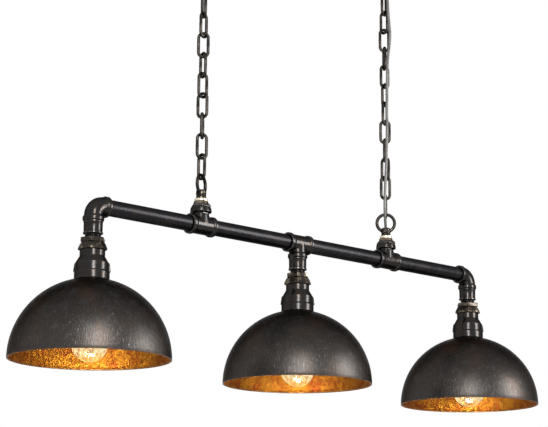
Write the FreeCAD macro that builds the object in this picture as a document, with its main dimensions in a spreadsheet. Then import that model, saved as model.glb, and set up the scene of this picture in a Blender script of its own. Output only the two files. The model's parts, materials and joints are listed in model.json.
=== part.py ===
"""Three-light bar pendant: a bar of threaded pipe and fittings that hangs on two chains.

The frame: X runs along the bar, Z is up, and the origin is on the ceiling, midway between
the two canopies. Everything hangs below it. Sizes are in millimetres and degrees.
"""

import FreeCAD, Part
import math
import os
import re

import Sketcher
from FreeCAD import Placement, Rotation, Vector

SIZES = {
    # Layout
    "lamp_spacing": 446.0,
    "thread_gap": 0.1,
    "seat_gap": 0.1,
    "overrun": 5.0,
    # Ceiling canopies and the straps that hold them
    "screw_spacing": 88.9,
    "screw_hole": 5.0,
    "strap_end": 8.55,
    "strap_width": 20.0,
    "strap_thickness": 2.5,
    "strap_drop": 9.5,
    "strap_middle": 46.0,
    "canopy_room": 10.5,
    "canopy_depth": 25.0,
    "canopy_wall": 1.2,
    "canopy_corner": 9.0,
    # Supply cord and its ends
    "cord_diameter": 5.2,
    "cord_tuck": 6.0,
    "lead_diameter": 1.8,
    "lead_reach": 22.0,
    "lead_spread": 13.0,
    "lead_bend": 2.2,
    "connector_radius": 5.0,
    "connector_tip": 2.6,
    "connector_length": 17.0,
    "connector_gap": 0.3,
    # Threaded nipples, round nuts and cast loops, alike at the ceiling and on the bar
    "nipple_room": 0.7,
    "nipple_wall": 1.6,
    "nipple_rise": 3.0,
    "nipple_grip": 8.0,
    "nut_wall": 5.3,
    "nut_height": 5.0,
    "nut_bevel": 1.0,
    "loop_width": 37.0,
    "loop_wire": 5.0,
    "loop_foot": 6.0,
    "loop_collar_wall": 3.0,
    "loop_collar_height": 15.0,
    "loop_collar_bevel": 1.5,
    "cord_room": 1.1,
    # Chain
    "link_pitch": 36.0,
    "link_width": 22.0,
    "link_wire": 5.0,
    "link_gap": 0.3,
    # Pipe and pipe fittings
    "pipe_od": 26.9,
    "pipe_wall": 2.95,
    "pipe_insert": 12.5,
    "pipe_stop": 0.5,
    "socket_land": 0.55,
    "fitting_wall": 1.95,
    "band_stand": 2.0,
    "band_width": 7.5,
    "band_bevel": 1.2,
    "elbow_throat": 2.0,
    "branch_extra": 4.5,
    "branch_band": 9.5,
    # Bushing on top of each hanger tee
    "bushing_height": 10.0,
    "bushing_shoulder": 1.8,
    "bushing_slope": 4.0,
    "bushing_land": 1.2,
    # Coupling and union
    "coupling_wall": 1.45,
    "coupling_height": 21.5,
    "coupling_bevel": 1.0,
    "neck_stand": 1.5,
    "neck_height": 6.0,
    "tail_od": 25.0,
    "tail_wall": 2.5,
    "tail_length": 10.0,
    "hex_wall": 3.9,
    "hex_height": 8.0,
    "shank_wall": 2.4,
    "flange_stand": 2.5,
    "flange_height": 4.0,
    "ring_lip": 4.5,
    "ring_wall": 2.85,
    "ring_web": 4.0,
    "ring_edge": 3.0,
    "ring_height": 12.0,
    # Bell reducer
    "spigot_stand": 1.5,
    "reducer_neck_stand": 1.5,
    "reducer_neck_height": 10.0,
    "reducer_shoulder": 11.0,
    "reducer_collar_height": 13.0,
    "reducer_wall": 3.5,
    "bead_stand": 1.5,
    "bead_height": 14.5,
    "bead_bevel": 2.0,
    "web_height": 6.0,
    "web_thickness": 5.0,
    "rib_stand": 3.0,
    "rib_width": 5.0,
    "rib_height": 14.0,
    "rib_foot": 1.0,
    # Shade and the ring that clamps it
    "shade_radius": 130.0,
    "shade_wall": 1.5,
    "hole_gap": 0.4,
    "shade_ring_width": 6.8,
    "shade_ring_height": 5.0,
    # Lampholder
    "cap_room": 2.0,
    "holder_room": 3.3,
    "holder_wall": 6.2,
    "holder_waist_step": 1.7,
    "holder_cap_height": 10.0,
    "holder_length": 50.0,
    "holder_bevel": 1.0,
    "holder_floor": 7.5,
    "holder_wire_hole": 2.5,
    "lock_nut_wall": 3.5,
    "lock_nut_height": 4.0,
    "spigot_rise": 1.0,
    "shell_wall": 0.5,
    "shell_inset": 2.0,
    "shell_length": 25.0,
    "shell_room": 2.5,
    "contact_radius": 5.0,
    "contact_height": 3.0,
    # Bulb
    "cap_radius": 13.0,
    "cap_taper": 5.0,
    "cap_tip_radius": 4.5,
    "cap_stand_off": 2.0,
    "bulb_gap": 0.4,
    "glass_step": 1.5,
    "glass_neck": 8.0,
    "glass_radius": 29.0,
    "glass_length": 117.0,
    "glass_wall": 0.8,
    "stem_radius": 3.0,
    "stem_length": 38.0,
    "filament_wire": 0.9,
    "filament_bend": 1.2,
    "filament_top_radius": 5.0,
    "filament_foot_radius": 11.0,
    "filament_top": 30.0,
    "filament_foot": 92.0,
    # Wiring inside the bar
    "lamp_wire_diameter": 4.0,
    "lamp_wire_side": 3.6,
    "lamp_wire_bend": 9.0,
    "splice_radius": 7.0,
    "splice_length": 20.0,
}

SIDES = {"left": -1, "middle": 0, "right": 1}
HANGERS = {"left": -1, "right": 1}
HEX_SIDES = 6
OCTAGON_SIDES = 8
FILAMENT_LEGS = 8
LEAD_COUNT = 3

# Angles about Z, in degrees. FACE_TURN lays a link or loop in the plane that faces the
# photograph's viewpoint, and each table says how much each one is turned from there,
# from the lowest link up.
FACE_TURN = -42.4
LINK_TURNS = {
    "left": [-50, 20, 85, -20, 38, -57, 0, 57, -67, 5, 75, -15],
    "right": [90, 14, -44, 76, 0, 60, -62, 33, -82, 10, -47, 60],
}
HANGER_LOOP_TURN = {"left": 68, "right": 0}
CANOPY_LOOP_TURN = {"left": 75, "right": -16}
HEX_TURN = -12.4
RING_TURN = FACE_TURN

# The supply cord's route beside the right chain, as real sizes: how far to the right of the
# chain and how far in front of it, seen from the viewpoint, and how far below the upper
# loop's collar. The last points are written from the lower loop's collar instead.
UPPER_ROUTE = [
    (0.0, 0.0, 6.0),
    (3.5, 5.5, 17.0),
    (6.3, 10.5, 30.0),
    (6.6, 14.0, 50.0),
    (8.2, 14.6, 77.0),
    (11.2, 13.8, 113.0),
    (5.4, 15.0, 149.0),
    (4.4, 14.4, 185.0),
    (3.4, 15.0, 221.0),
    (3.0, 14.5, 257.0),
    (3.2, 15.2, 293.0),
    (1.8, 15.0, 329.0),
    (0.8, 14.6, 365.0),
    (-1.2, 15.0, 401.0),
]
LOWER_ROUTE = [
    (-3.6, 14.8, 49.0),
    (-6.2, 11.5, 33.0),
    (-5.8, 7.2, 20.5),
    (-2.7, 3.0, 9.5),
    (0.0, 0.0, -1.5),
]
ROUTE_RUN_SHARE = 0.45

doc = FreeCAD.newDocument("bar_pendant")
sheet = doc.addObject("Spreadsheet::Sheet", "sizes")
for row, (alias, size) in enumerate(SIZES.items(), start=1):
    sheet.set(f"A{row}", str(size))
    sheet.setAlias(f"A{row}", alias)
doc.recompute()

# Widths that follow from the sizes, kept as expressions on them
CANOPY_RADIUS = "(screw_spacing / 2 + strap_end + canopy_room)"
NIPPLE_BORE = "(cord_diameter / 2 + nipple_room)"
NIPPLE_RADIUS = f"({NIPPLE_BORE} + nipple_wall)"
NIPPLE_HOLE = f"({NIPPLE_RADIUS} + thread_gap)"
NUT_RADIUS = f"({NIPPLE_HOLE} + nut_wall)"
LOOP_COLLAR = f"({NIPPLE_HOLE} + loop_collar_wall)"
CORD_BORE = "(cord_diameter / 2 + cord_room)"
PIPE_BORE = "(pipe_od / 2 - pipe_wall)"
SOCKET = "(pipe_od / 2 + thread_gap)"
FITTING_RADIUS = f"({SOCKET} + fitting_wall)"
BAND_RADIUS = f"({FITTING_RADIUS} + band_stand)"
ELBOW_BEND = f"({FITTING_RADIUS} + elbow_throat)"
COUPLING_RADIUS = f"({SOCKET} + coupling_wall)"
TAIL_BORE = "(tail_od / 2 - tail_wall)"
TAIL_SOCKET = "(tail_od / 2 + thread_gap)"
SHANK = f"({TAIL_SOCKET} + shank_wall)"
FLANGE = f"({SHANK} + flange_stand)"
SPIGOT = f"({FLANGE} + spigot_stand)"
RING_FLATS = f"(2 * ({SPIGOT} + thread_gap + ring_wall))"
REDUCER_NECK = f"({SPIGOT} + reducer_neck_stand)"
HOLDER_CAP = f"({REDUCER_NECK} - reducer_wall - cap_room)"
SHELL_INNER = "(cap_radius + bulb_gap)"
SHELL_OUTER = f"({SHELL_INNER} + shell_wall)"
HOLDER_RADIUS = f"({SHELL_OUTER} + thread_gap + holder_wall)"
SHADE_HOLE = f"({HOLDER_RADIUS} + hole_gap)"
COLLAR_RADIUS = f"({HOLDER_RADIUS} + holder_room + reducer_wall)"
BEAD_RADIUS = f"({COLLAR_RADIUS} + bead_stand)"
SHADE_INNER = "(shade_radius - shade_wall)"
GLASS_NECK = "(cap_radius + glass_step)"

# Levels from the ceiling down to the bar, and lengths along the bar
LOOP_REACH = "(loop_width + loop_foot)"
LOOP_INNER = f"({LOOP_REACH} - loop_wire)"
LINK_INNER = "(link_pitch + link_gap)"
UPPER_SEAT = "(-canopy_depth - nut_height)"
UPPER_MOUTH = f"({UPPER_SEAT} - loop_collar_height)"
NIPPLE_TOP = "(nipple_rise - strap_drop)"
TOP_LINK = f"({UPPER_SEAT} - {LOOP_INNER} + link_gap - {LINK_INNER} / 2)"
LINK_COUNT = len(LINK_TURNS["left"])
BOTTOM_LINK = f"({TOP_LINK} - {LINK_COUNT - 1} * link_pitch)"
LOWER_SEAT = f"({BOTTOM_LINK} - {LINK_INNER} / 2 + link_gap - {LOOP_INNER})"
LOWER_MOUTH = f"({LOWER_SEAT} + loop_collar_height)"
FITTING_REACH = "(pipe_od / 2 + socket_land + pipe_insert)"
BRANCH_REACH = f"({FITTING_REACH} + branch_extra)"
BUSHING_PLUG = "(pipe_insert - pipe_stop)"
BUSHING = f"({LOWER_SEAT} - nut_height - bushing_height)"
PIPE = f"({BUSHING} - {BRANCH_REACH})"
HANGER_X = "(lamp_spacing / 2)"
PIPE_START = f"({FITTING_REACH} - pipe_insert + pipe_stop)"
PIPE_LENGTH = f"({HANGER_X} - 2 * {PIPE_START})"

# Levels down one lamp, from the end of the fitting above it
LAMP_TOP = f"({PIPE} - {FITTING_REACH})"
NECK = "(-coupling_height)"
HEX_TOP = f"({NECK} - neck_height)"
RING_TOP = f"({HEX_TOP} - hex_height)"
RING_WEB = f"({RING_TOP} - ring_web)"
SPIGOT_TOP = f"({RING_WEB} - flange_height)"
REDUCER = f"({RING_TOP} - ring_height)"
WEB_TOP = f"({REDUCER} - web_height)"
WEB_FOOT = f"({WEB_TOP} - web_thickness)"
SHOULDER = f"({REDUCER} - reducer_neck_height)"
COLLAR = f"({SHOULDER} - reducer_shoulder)"
BEAD = f"({COLLAR} - reducer_collar_height)"
BEAD_FOOT = f"({BEAD} - bead_height)"
RIM = f"({BEAD_FOOT} - seat_gap - sqrt(shade_radius ^ 2 - {BEAD_RADIUS} ^ 2))"
HOLDER = f"({WEB_FOOT} - seat_gap)"
HOLDER_MOUTH = f"({HOLDER} - holder_length)"
HOLDER_FLOOR = f"({HOLDER_MOUTH} + shell_inset + shell_length + shell_room)"
WIRE_FOOT = f"({HOLDER_FLOOR} + holder_floor)"
SPIGOT_END = f"({WEB_TOP} + lock_nut_height + spigot_rise)"
BULB = f"({HOLDER_MOUTH} - cap_stand_off)"


def cells(text):
    """The text of an expression, with each size's name turned into its cell's address."""
    return re.sub(r"[a-z][a-z_]+", lambda word: f"sizes.{word[0]}" if word[0] in SIZES else word[0], text)


def measure(text):
    """The present value of an expression on the sheet's sizes."""
    return float(sheet.evalExpression(text))


def bind(item, **expressions):
    for name, text in expressions.items():
        item.setExpression(name, cells(text))
    return item


def put(item, spot=("0", "0", "0"), rotation=None):
    """Places an object at a spot given by three expressions."""
    item.Placement = Placement(Vector(*[measure(text) for text in spot]), rotation or Rotation())
    for axis, text in zip("xyz", spot):
        if text != "0":
            item.setExpression(f".Placement.Base.{axis}", cells(text))
    return item


def about_z(degrees):
    return Rotation(Vector(0, 0, 1), degrees)


ALONG_X = Rotation(Vector(0, 1, 0), 90)
FLIPPED = Rotation(Vector(1, 0, 0), 180)
UPRIGHT = Rotation(Vector(1, 0, 0), 90)


def arc_between(start, end, radius, side):
    """The arc of a circle from start to end whose centre lies on the given side, as a
    sketch edge that runs counterclockwise, and whether it had to be turned round."""
    chord = end - start
    middle = (start + end) * 0.5
    rise = math.sqrt(max(radius ** 2 - (chord.Length / 2) ** 2, 0.0))
    across = Vector(-chord.y, chord.x, 0).normalize()
    centre = middle + across * rise * side
    first, last = (start, end) if side > 0 else (end, start)
    angles = [math.atan2(p.y - centre.y, p.x - centre.x) for p in (first, last)]
    circle = Part.Circle(centre, Vector(0, 0, 1), radius)
    return Part.ArcOfCircle(circle, *angles), side < 0


def sketch_outline(body, plane, outline):
    """A closed sketch through points given as expressions. A point may add an arc's radius
    and the side of its centre, for the edge that leaves it."""
    sketch = body.newObject("Sketcher::SketchObject", "Outline")
    origin_plane = [f for f in body.Origin.OriginFeatures if f.Role == plane][0]
    sketch.AttachmentSupport = [(origin_plane, "")]
    sketch.MapMode = "FlatFace"
    spots = [Vector(measure(point[0]), measure(point[1]), 0) for point in outline]
    edges, ends = [], []
    for index, point in enumerate(outline):
        start, end = spots[index], spots[(index + 1) % len(spots)]
        turned_round = False
        if len(point) > 2:
            edge, turned_round = arc_between(start, end, measure(point[2]), point[3])
        else:
            edge = Part.LineSegment(start, end)
        edges.append(edge)
        ends.append((2, 1) if turned_round else (1, 2))
    sketch.addGeometry(edges, False)
    constrain = Sketcher.Constraint
    rules, bound = [], []
    for index, point in enumerate(outline):
        after = (index + 1) % len(outline)
        rules.append(constrain("Coincident", index, ends[index][1], after, ends[after][0]))
    for index, point in enumerate(outline):
        corner = ends[index][0]
        for text, kind, axis_line, place in (
            (point[0], "DistanceX", -2, spots[index].x),
            (point[1], "DistanceY", -1, spots[index].y),
        ):
            if text == "0":
                rules.append(constrain("PointOnObject", index, corner, axis_line))
            else:
                bound.append((len(rules), text))
                rules.append(constrain(kind, -1, 1, index, corner, place))
        if len(point) > 2:
            bound.append((len(rules), point[2]))
            rules.append(constrain("Radius", index, measure(point[2])))
    sketch.addConstraint(rules)
    for number, text in bound:
        sketch.setExpression(f"Constraints[{number}]", cells(text))
    return sketch


def turned(name, outline, spot=("0", "0", "0"), rotation=None):
    """A body turned about Z from an outline of (radius, height) expressions."""
    body = doc.addObject("PartDesign::Body", name)
    sketch = sketch_outline(body, "XZ_Plane", outline)
    turn = body.newObject("PartDesign::Revolution", "Turn")
    turn.Profile = sketch
    turn.ReferenceAxis = (sketch, ["V_Axis"])
    turn.Angle = 360
    return put(body, spot, rotation)


def cylinder(name, radius, height, spot=("0", "0", "0"), rotation=None):
    item = bind(doc.addObject("Part::Cylinder", name), Radius=radius, Height=height)
    return put(item, spot, rotation)


def prism(name, sides, flats, height, spot=("0", "0", "0"), rotation=None):
    """A regular prism, its size given across the flats."""
    item = doc.addObject("Part::Prism", name)
    item.Polygon = sides
    bind(item, Circumradius=f"{flats} / 2 / cos(180 deg / {sides})", Height=height)
    return put(item, spot, rotation)


def torus(name, radius, wire, angle, spot=("0", "0", "0"), rotation=None):
    item = doc.addObject("Part::Torus", name)
    item.Angle3 = angle
    bind(item, Radius1=radius, Radius2=wire)
    return put(item, spot, rotation)


def fused(name, items, spot=("0", "0", "0"), rotation=None):
    item = doc.addObject("Part::MultiFuse", name)
    item.Shapes = items
    item.Refine = True
    return put(item, spot, rotation)


def cut(name, base, tools, spot=("0", "0", "0"), rotation=None):
    item = doc.addObject("Part::Cut", name)
    item.Base = base
    item.Tool = tools[0] if len(tools) == 1 else fused(f"{name}_tools", tools)
    item.Refine = True
    return put(item, spot, rotation)


def common(name, base, tool, spot=("0", "0", "0"), rotation=None):
    item = doc.addObject("Part::Common", name)
    item.Base = base
    item.Tool = tool
    return put(item, spot, rotation)


def copy_of(item, spot, rotation=None):
    link = doc.addObject("App::Link", f"{item.Label}_copy")
    link.LinkedObject = item
    return put(link, spot, rotation)


def rounded_path(points, radius=None):
    """Straight runs joined by tangent arcs. With no radius given, each arc is as large as
    its two runs allow. Returns the wire and the smallest radius."""
    edges, radii, here = [], [], points[0]
    for before, corner, after in zip(points, points[1:], points[2:]):
        arrive, leave = corner - before, after - corner
        turn = arrive.getAngle(leave)
        reach = ROUTE_RUN_SHARE * min(arrive.Length, leave.Length)
        bend = radius or reach / math.tan(turn / 2)
        reach = bend * math.tan(turn / 2)
        arrive, leave = arrive.normalize(), leave.normalize()
        start, end = corner - arrive * reach, corner + leave * reach
        centre = corner + (leave - arrive).normalize() * (bend / math.cos(turn / 2))
        crown = centre + (corner - centre).normalize() * bend
        edges.append(Part.LineSegment(here, start).toShape())
        edges.append(Part.Arc(start, crown, end).toShape())
        radii.append(bend)
        here = end
    edges.append(Part.LineSegment(here, points[-1]).toShape())
    return Part.Wire(edges), min(radii)


def tube(points, diameter, radius=None):
    """A round solid along a rounded path, with its centreline's length."""
    path, smallest = rounded_path(points, radius)
    ring = Part.Circle(points[0], points[1] - points[0], diameter / 2).toShape()
    solid = path.makePipeShell([Part.Wire([ring])], True, False)
    if solid.Volume < 0:
        solid.reverse()
    return solid, path.Length, smallest


def feature(name, shape, spot=("0", "0", "0"), rotation=None):
    """A shape made from measured sizes, for the tubes that no other feature fits."""
    item = doc.addObject("Part::Feature", name)
    item.Shape = shape
    return put(item, spot, rotation)


NODES = {}


def node(name, item):
    """Names one finished sub-part."""
    item.Label = name
    NODES[name] = item


def group(name, items):
    """One node that holds several separate solids of one kind."""
    bunch = doc.addObject("Part::Compound", name)
    bunch.Links = items
    node(name, bunch)


def hanger_x(side):
    return f"{HANGERS[side]} * {HANGER_X}"


def lamp_x(side):
    return f"{SIDES[side]} * lamp_spacing" if SIDES[side] else "0"


def lamp_spot(side, level="0"):
    """A spot on one lamp's own axis, its level counted from the end of its fitting."""
    return lamp_x(side), "0", f"{LAMP_TOP} + {level}"


def make_canopies():
    """The two dished canopies, the straps above them and what holds them together."""
    inner = f"({CANOPY_RADIUS} - canopy_wall)"
    floor, foot = "(canopy_wall - canopy_depth)", "(-canopy_depth)"
    outline = [
        (NIPPLE_HOLE, floor),
        (f"{inner} - canopy_corner + canopy_wall", floor, "canopy_corner - canopy_wall", 1),
        (inner, "canopy_corner - canopy_depth"),
        (inner, "0"),
        (CANOPY_RADIUS, "0"),
        (CANOPY_RADIUS, "canopy_corner - canopy_depth", "canopy_corner", -1),
        (f"{CANOPY_RADIUS} - canopy_corner", foot),
        (NIPPLE_HOLE, foot),
    ]
    straps, nipples, nuts = [], [], []
    for side in HANGERS:
        x = hanger_x(side)
        node(f"{side}_canopy", turned(f"{side}_canopy_body", outline, (x, "0", "0")))
        straps.append(make_strap(side))
        foot = f"{UPPER_SEAT} - nipple_grip"
        nipples.append(make_nipple(f"{side}_canopy_nipple", x, foot, NIPPLE_TOP))
        nuts.append(make_round_nut(f"{side}_canopy_nut", x, UPPER_SEAT))
    group("ceiling_straps", straps)
    group("canopy_nipples", nipples)
    group("canopy_nuts", nuts)


def make_strap(side):
    """A steel strap with a dropped middle, two screw holes and a threaded centre hole."""
    body = doc.addObject("PartDesign::Body", f"{side}_strap_body")
    low, top = "(-strap_drop)", "0"
    ramp = "(strap_middle / 2 + strap_drop)"
    end = "(screw_spacing / 2 + strap_end)"
    upper = [
        (f"-{end}", top),
        (f"-{ramp}", top),
        ("-strap_middle / 2", low),
        ("strap_middle / 2", low),
        (ramp, top),
        (end, top),
    ]
    lower = [(across, f"{level} - strap_thickness") for across, level in reversed(upper)]
    sketch = sketch_outline(body, "YZ_Plane", upper + lower)
    pad = body.newObject("PartDesign::Pad", "Strip")
    pad.Profile = sketch
    pad.Midplane = True
    bind(pad, Length="strap_width")
    through = "strap_thickness + 2 * overrun"
    centre = ("0", "0", "-strap_drop - strap_thickness - overrun")
    holes = [cylinder(f"{side}_strap_centre", NIPPLE_HOLE, through, centre)]
    for sign in (-1, 1):
        spot = ("0", f"{sign} * screw_spacing / 2", "-strap_thickness - overrun")
        holes.append(cylinder(f"{side}_strap_hole", "screw_hole / 2", through, spot))
    return cut(f"{side}_strap", body, holes, (hanger_x(side), "0", "0"))


def make_nipple(name, x, foot, head):
    """A short threaded tube from one level up to another."""
    outline = [
        (NIPPLE_BORE, foot),
        (NIPPLE_RADIUS, foot),
        (NIPPLE_RADIUS, head),
        (NIPPLE_BORE, head),
    ]
    return turned(name, outline, (x, "0", "0"))


def make_round_nut(name, x, foot):
    """A round nut with bevelled edges, standing on the level of its foot."""
    head = f"{foot} + nut_height"
    outline = [
        (NIPPLE_HOLE, foot),
        (f"{NUT_RADIUS} - nut_bevel", foot),
        (NUT_RADIUS, f"{foot} + nut_bevel"),
        (NUT_RADIUS, f"{head} - nut_bevel"),
        (f"{NUT_RADIUS} - nut_bevel", head),
        (NIPPLE_HOLE, head),
    ]
    return turned(name, outline, (x, "0", "0"))


def make_loop():
    """One cast loop, its collar standing on the origin and its ring above: the pattern that
    the ceiling and the bar share."""
    collar_outline = [
        ("0", "0"),
        (LOOP_COLLAR, "0"),
        (LOOP_COLLAR, "loop_collar_height - loop_collar_bevel"),
        (f"{LOOP_COLLAR} - loop_collar_bevel", "loop_collar_height"),
        ("0", "loop_collar_height"),
    ]
    bore_outline = [
        ("0", "-overrun"),
        (NIPPLE_HOLE, "-overrun"),
        (NIPPLE_HOLE, "nipple_grip + seat_gap"),
        (CORD_BORE, "nipple_grip + seat_gap"),
        (CORD_BORE, "loop_collar_height - loop_collar_bevel"),
        (f"{CORD_BORE} + loop_collar_bevel", "loop_collar_height"),
        ("0", "loop_collar_height"),
    ]
    ring_spot = ("0", "0", "loop_foot + loop_width / 2")
    ring = torus("loop_ring", "(loop_width - loop_wire) / 2", "loop_wire / 2", 360, ring_spot, UPRIGHT)
    solid = fused("loop_solid", [turned("loop_collar", collar_outline), ring])
    return cut("loop_pattern", solid, [turned("loop_bore", bore_outline)])


def make_loops():
    """The two loops under the ceiling and the two on the bar."""
    pattern = make_loop()
    hangers, canopies = [], []
    for side in HANGERS:
        turn = about_z(FACE_TURN + HANGER_LOOP_TURN[side])
        hangers.append(copy_of(pattern, (hanger_x(side), "0", LOWER_SEAT), turn))
        turn = about_z(FACE_TURN + CANOPY_LOOP_TURN[side]).multiply(FLIPPED)
        canopies.append(copy_of(pattern, (hanger_x(side), "0", UPPER_SEAT), turn))
    group("hanger_loops", hangers)
    group("canopy_loops", canopies)


def make_link():
    """One chain link, upright in the XZ plane about its own middle."""
    straight = f"({LINK_INNER} - (link_width - 2 * link_wire))"
    bend = "(link_width - link_wire) / 2"
    pieces = [
        torus("link_head", bend, "link_wire / 2", 180, ("0", "0", f"{straight} / 2"), UPRIGHT),
        torus("link_foot", bend, "link_wire / 2", 180, ("0", "0", f"-{straight} / 2"), UPRIGHT.inverted()),
    ]
    for end in (-1, 1):
        spot = (f"{end} * {bend}", "0", f"-{straight} / 2")
        pieces.append(cylinder("link_side", "link_wire / 2", straight, spot))
    return fused("link_pattern", pieces)


def make_chains():
    """Two chains of alike links. The lowest and the top link of each turn on their own."""
    pattern = make_link()
    for side in HANGERS:
        links = []
        for number, turn in enumerate(LINK_TURNS[side]):
            spot = (hanger_x(side), "0", f"{BOTTOM_LINK} + {number} * link_pitch")
            links.append(copy_of(pattern, spot, about_z(FACE_TURN + turn)))
        group(f"{side}_bottom_link", links[:1])
        group(f"{side}_chain", links[1:-1])
        group(f"{side}_top_link", links[-1:])


def cord_route():
    """The supply cord's points, from inside the upper collar to inside the lower one."""
    x = measure(HANGER_X)
    turn = math.radians(FACE_TURN)
    right = Vector(math.cos(turn), math.sin(turn), 0)
    front = Vector(math.sin(turn), -math.cos(turn), 0)
    upper, lower = measure(UPPER_MOUTH), measure(LOWER_MOUTH)
    tuck = measure("cord_tuck")
    points = [Vector(x, 0, upper + tuck)]
    for levels, base, sign in ((UPPER_ROUTE, upper, -1), (LOWER_ROUTE, lower, 1)):
        for across, out, level in levels:
            points.append(Vector(x, 0, base + sign * level) + right * across + front * out)
    points.append(Vector(x, 0, lower - 2 * tuck))
    return points


def make_cord():
    """The supply cord in four stretches, parted halfway down the links that turn."""
    diameter = measure("cord_diameter")
    points = cord_route()
    solid, length, smallest = tube(points, diameter)
    section = math.pi * diameter ** 2 / 4
    print("supply cord: length", round(length, 1), "smallest radius", round(smallest, 1))
    print("supply cord: volume over section times length", round(solid.Volume / (section * length), 4))
    top_link, bottom_link = measure(TOP_LINK), measure(BOTTOM_LINK)
    levels = [points[0].z, top_link, (top_link + bottom_link) / 2, bottom_link, points[-1].z]
    reach = measure(CANOPY_RADIUS)
    names = ["supply_cord_top", "supply_cord_upper", "supply_cord_lower", "supply_cord_end"]
    for name, high, low in zip(names, levels, levels[1:]):
        corner = Vector(measure(HANGER_X) - reach, -reach, low)
        slab = Part.makeBox(2 * reach, 2 * reach, high - low, corner)
        node(name, feature(name, solid.common(slab)))


def make_supply_leads():
    """The cord's end in the right canopy: its jacket in the nipple, and three leads, each
    to a twist-on connector that lies on the canopy's floor."""
    x = measure(HANGER_X)
    top = measure(NIPPLE_TOP)
    start = measure(f"{UPPER_MOUTH} + cord_tuck")
    leads = [Part.makeCylinder(measure("cord_diameter / 2"), top - start, Vector(x, 0, start))]
    connectors = []
    over = top + measure("lead_bend + lead_diameter / 2")
    floor = measure("canopy_wall - canopy_depth + connector_gap + connector_radius")
    reach, bend = measure("lead_reach"), measure("lead_bend")
    ring = measure("(cord_diameter - lead_diameter) / 2 - thread_gap")
    outward = Vector(-1, 0, 0)
    for number in range(LEAD_COUNT):
        step = number - (LEAD_COUNT - 1) / 2
        angle = math.pi + step * 2 * math.pi / LEAD_COUNT
        foot = Vector(x + ring * math.cos(angle), -ring * math.sin(angle), top)
        across = step * measure("lead_spread")
        bight = Vector(x - reach, across, over)
        low = Vector(x - reach, across, floor)
        end = low + outward * 2 * bend
        route = [foot, Vector(foot.x, foot.y, over), bight, low, end]
        leads.append(tube(route, measure("lead_diameter"), bend)[0])
        sizes = [measure(text) for text in ("connector_radius", "connector_tip", "connector_length")]
        connectors.append(Part.makeCone(*sizes, end, outward))
    node("supply_leads", feature("supply_leads", Part.makeCompound(leads)))
    node("wire_connectors", feature("wire_connectors", Part.makeCompound(connectors)))


def fitting_end(name, reach, band, rotation):
    """The outside of one end of a fitting, with the raised band at its mouth."""
    outline = [
        ("0", "0"),
        (FITTING_RADIUS, "0"),
        (FITTING_RADIUS, f"{reach} - {band} - band_bevel"),
        (f"{BAND_RADIUS} - band_bevel / 2", f"{reach} - {band}"),
        (BAND_RADIUS, f"{reach} - {band} + band_bevel"),
        (BAND_RADIUS, f"{reach} - band_bevel"),
        (f"{BAND_RADIUS} - band_bevel", reach),
        ("0", reach),
    ]
    return turned(name, outline, rotation=rotation)


def fitting_bore(name, reach, rotation):
    """What is cut from one end of a tee: the way through, and the pipe's socket."""
    outline = [
        ("0", "0"),
        (PIPE_BORE, "0"),
        (PIPE_BORE, f"{reach} - pipe_insert"),
        (SOCKET, f"{reach} - pipe_insert"),
        (SOCKET, f"{reach} + overrun"),
        ("0", f"{reach} + overrun"),
    ]
    return turned(name, outline, rotation=rotation)


def make_tee(name, x, branch, reach, band):
    """A tee whose run lies along the bar and whose branch points up or down."""
    ends = [
        (ALONG_X, FITTING_REACH, "band_width"),
        (ALONG_X.inverted(), FITTING_REACH, "band_width"),
        (branch, reach, band),
    ]
    solids = [fitting_end(f"{name}_end", far, wide, turn) for turn, far, wide in ends]
    bores = [fitting_bore(f"{name}_bore", far, turn) for turn, far, wide in ends]
    solid = fused(f"{name}_solid", solids)
    node(name, cut(f"{name}_cast", solid, bores, (x, "0", PIPE)))


def make_elbow(name, x, inward):
    """The elbow at one end of the bar. Inward is 1 where the bar runs off towards +X."""
    end_outline = [
        ("0", ELBOW_BEND),
        (FITTING_RADIUS, ELBOW_BEND),
        (f"{BAND_RADIUS} - band_bevel / 2", f"{ELBOW_BEND} + band_bevel"),
        (BAND_RADIUS, f"{ELBOW_BEND} + 2 * band_bevel"),
        (BAND_RADIUS, f"{FITTING_REACH} - band_bevel"),
        (f"{BAND_RADIUS} - band_bevel", FITTING_REACH),
        ("0", FITTING_REACH),
    ]
    socket_outline = [
        ("0", f"{FITTING_REACH} - pipe_insert"),
        (SOCKET, f"{FITTING_REACH} - pipe_insert"),
        (SOCKET, f"{FITTING_REACH} + overrun"),
        ("0", f"{FITTING_REACH} + overrun"),
    ]
    centre = (f"{inward} * {ELBOW_BEND}", "0", f"-{ELBOW_BEND}")
    quarter = Rotation(Vector(0, 1, 0), -90).multiply(UPRIGHT) if inward > 0 else UPRIGHT
    ends = [ALONG_X if inward > 0 else ALONG_X.inverted(), FLIPPED]
    solids = [torus(f"{name}_bend", ELBOW_BEND, FITTING_RADIUS, 90, centre, quarter)]
    bores = [torus(f"{name}_way", ELBOW_BEND, PIPE_BORE, 90, centre, quarter)]
    for rotation in ends:
        solids.append(turned(f"{name}_end", end_outline, rotation=rotation))
        bores.append(turned(f"{name}_socket", socket_outline, rotation=rotation))
    solid = fused(f"{name}_solid", solids)
    node(name, cut(f"{name}_cast", solid, bores, (x, "0", PIPE)))


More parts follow.
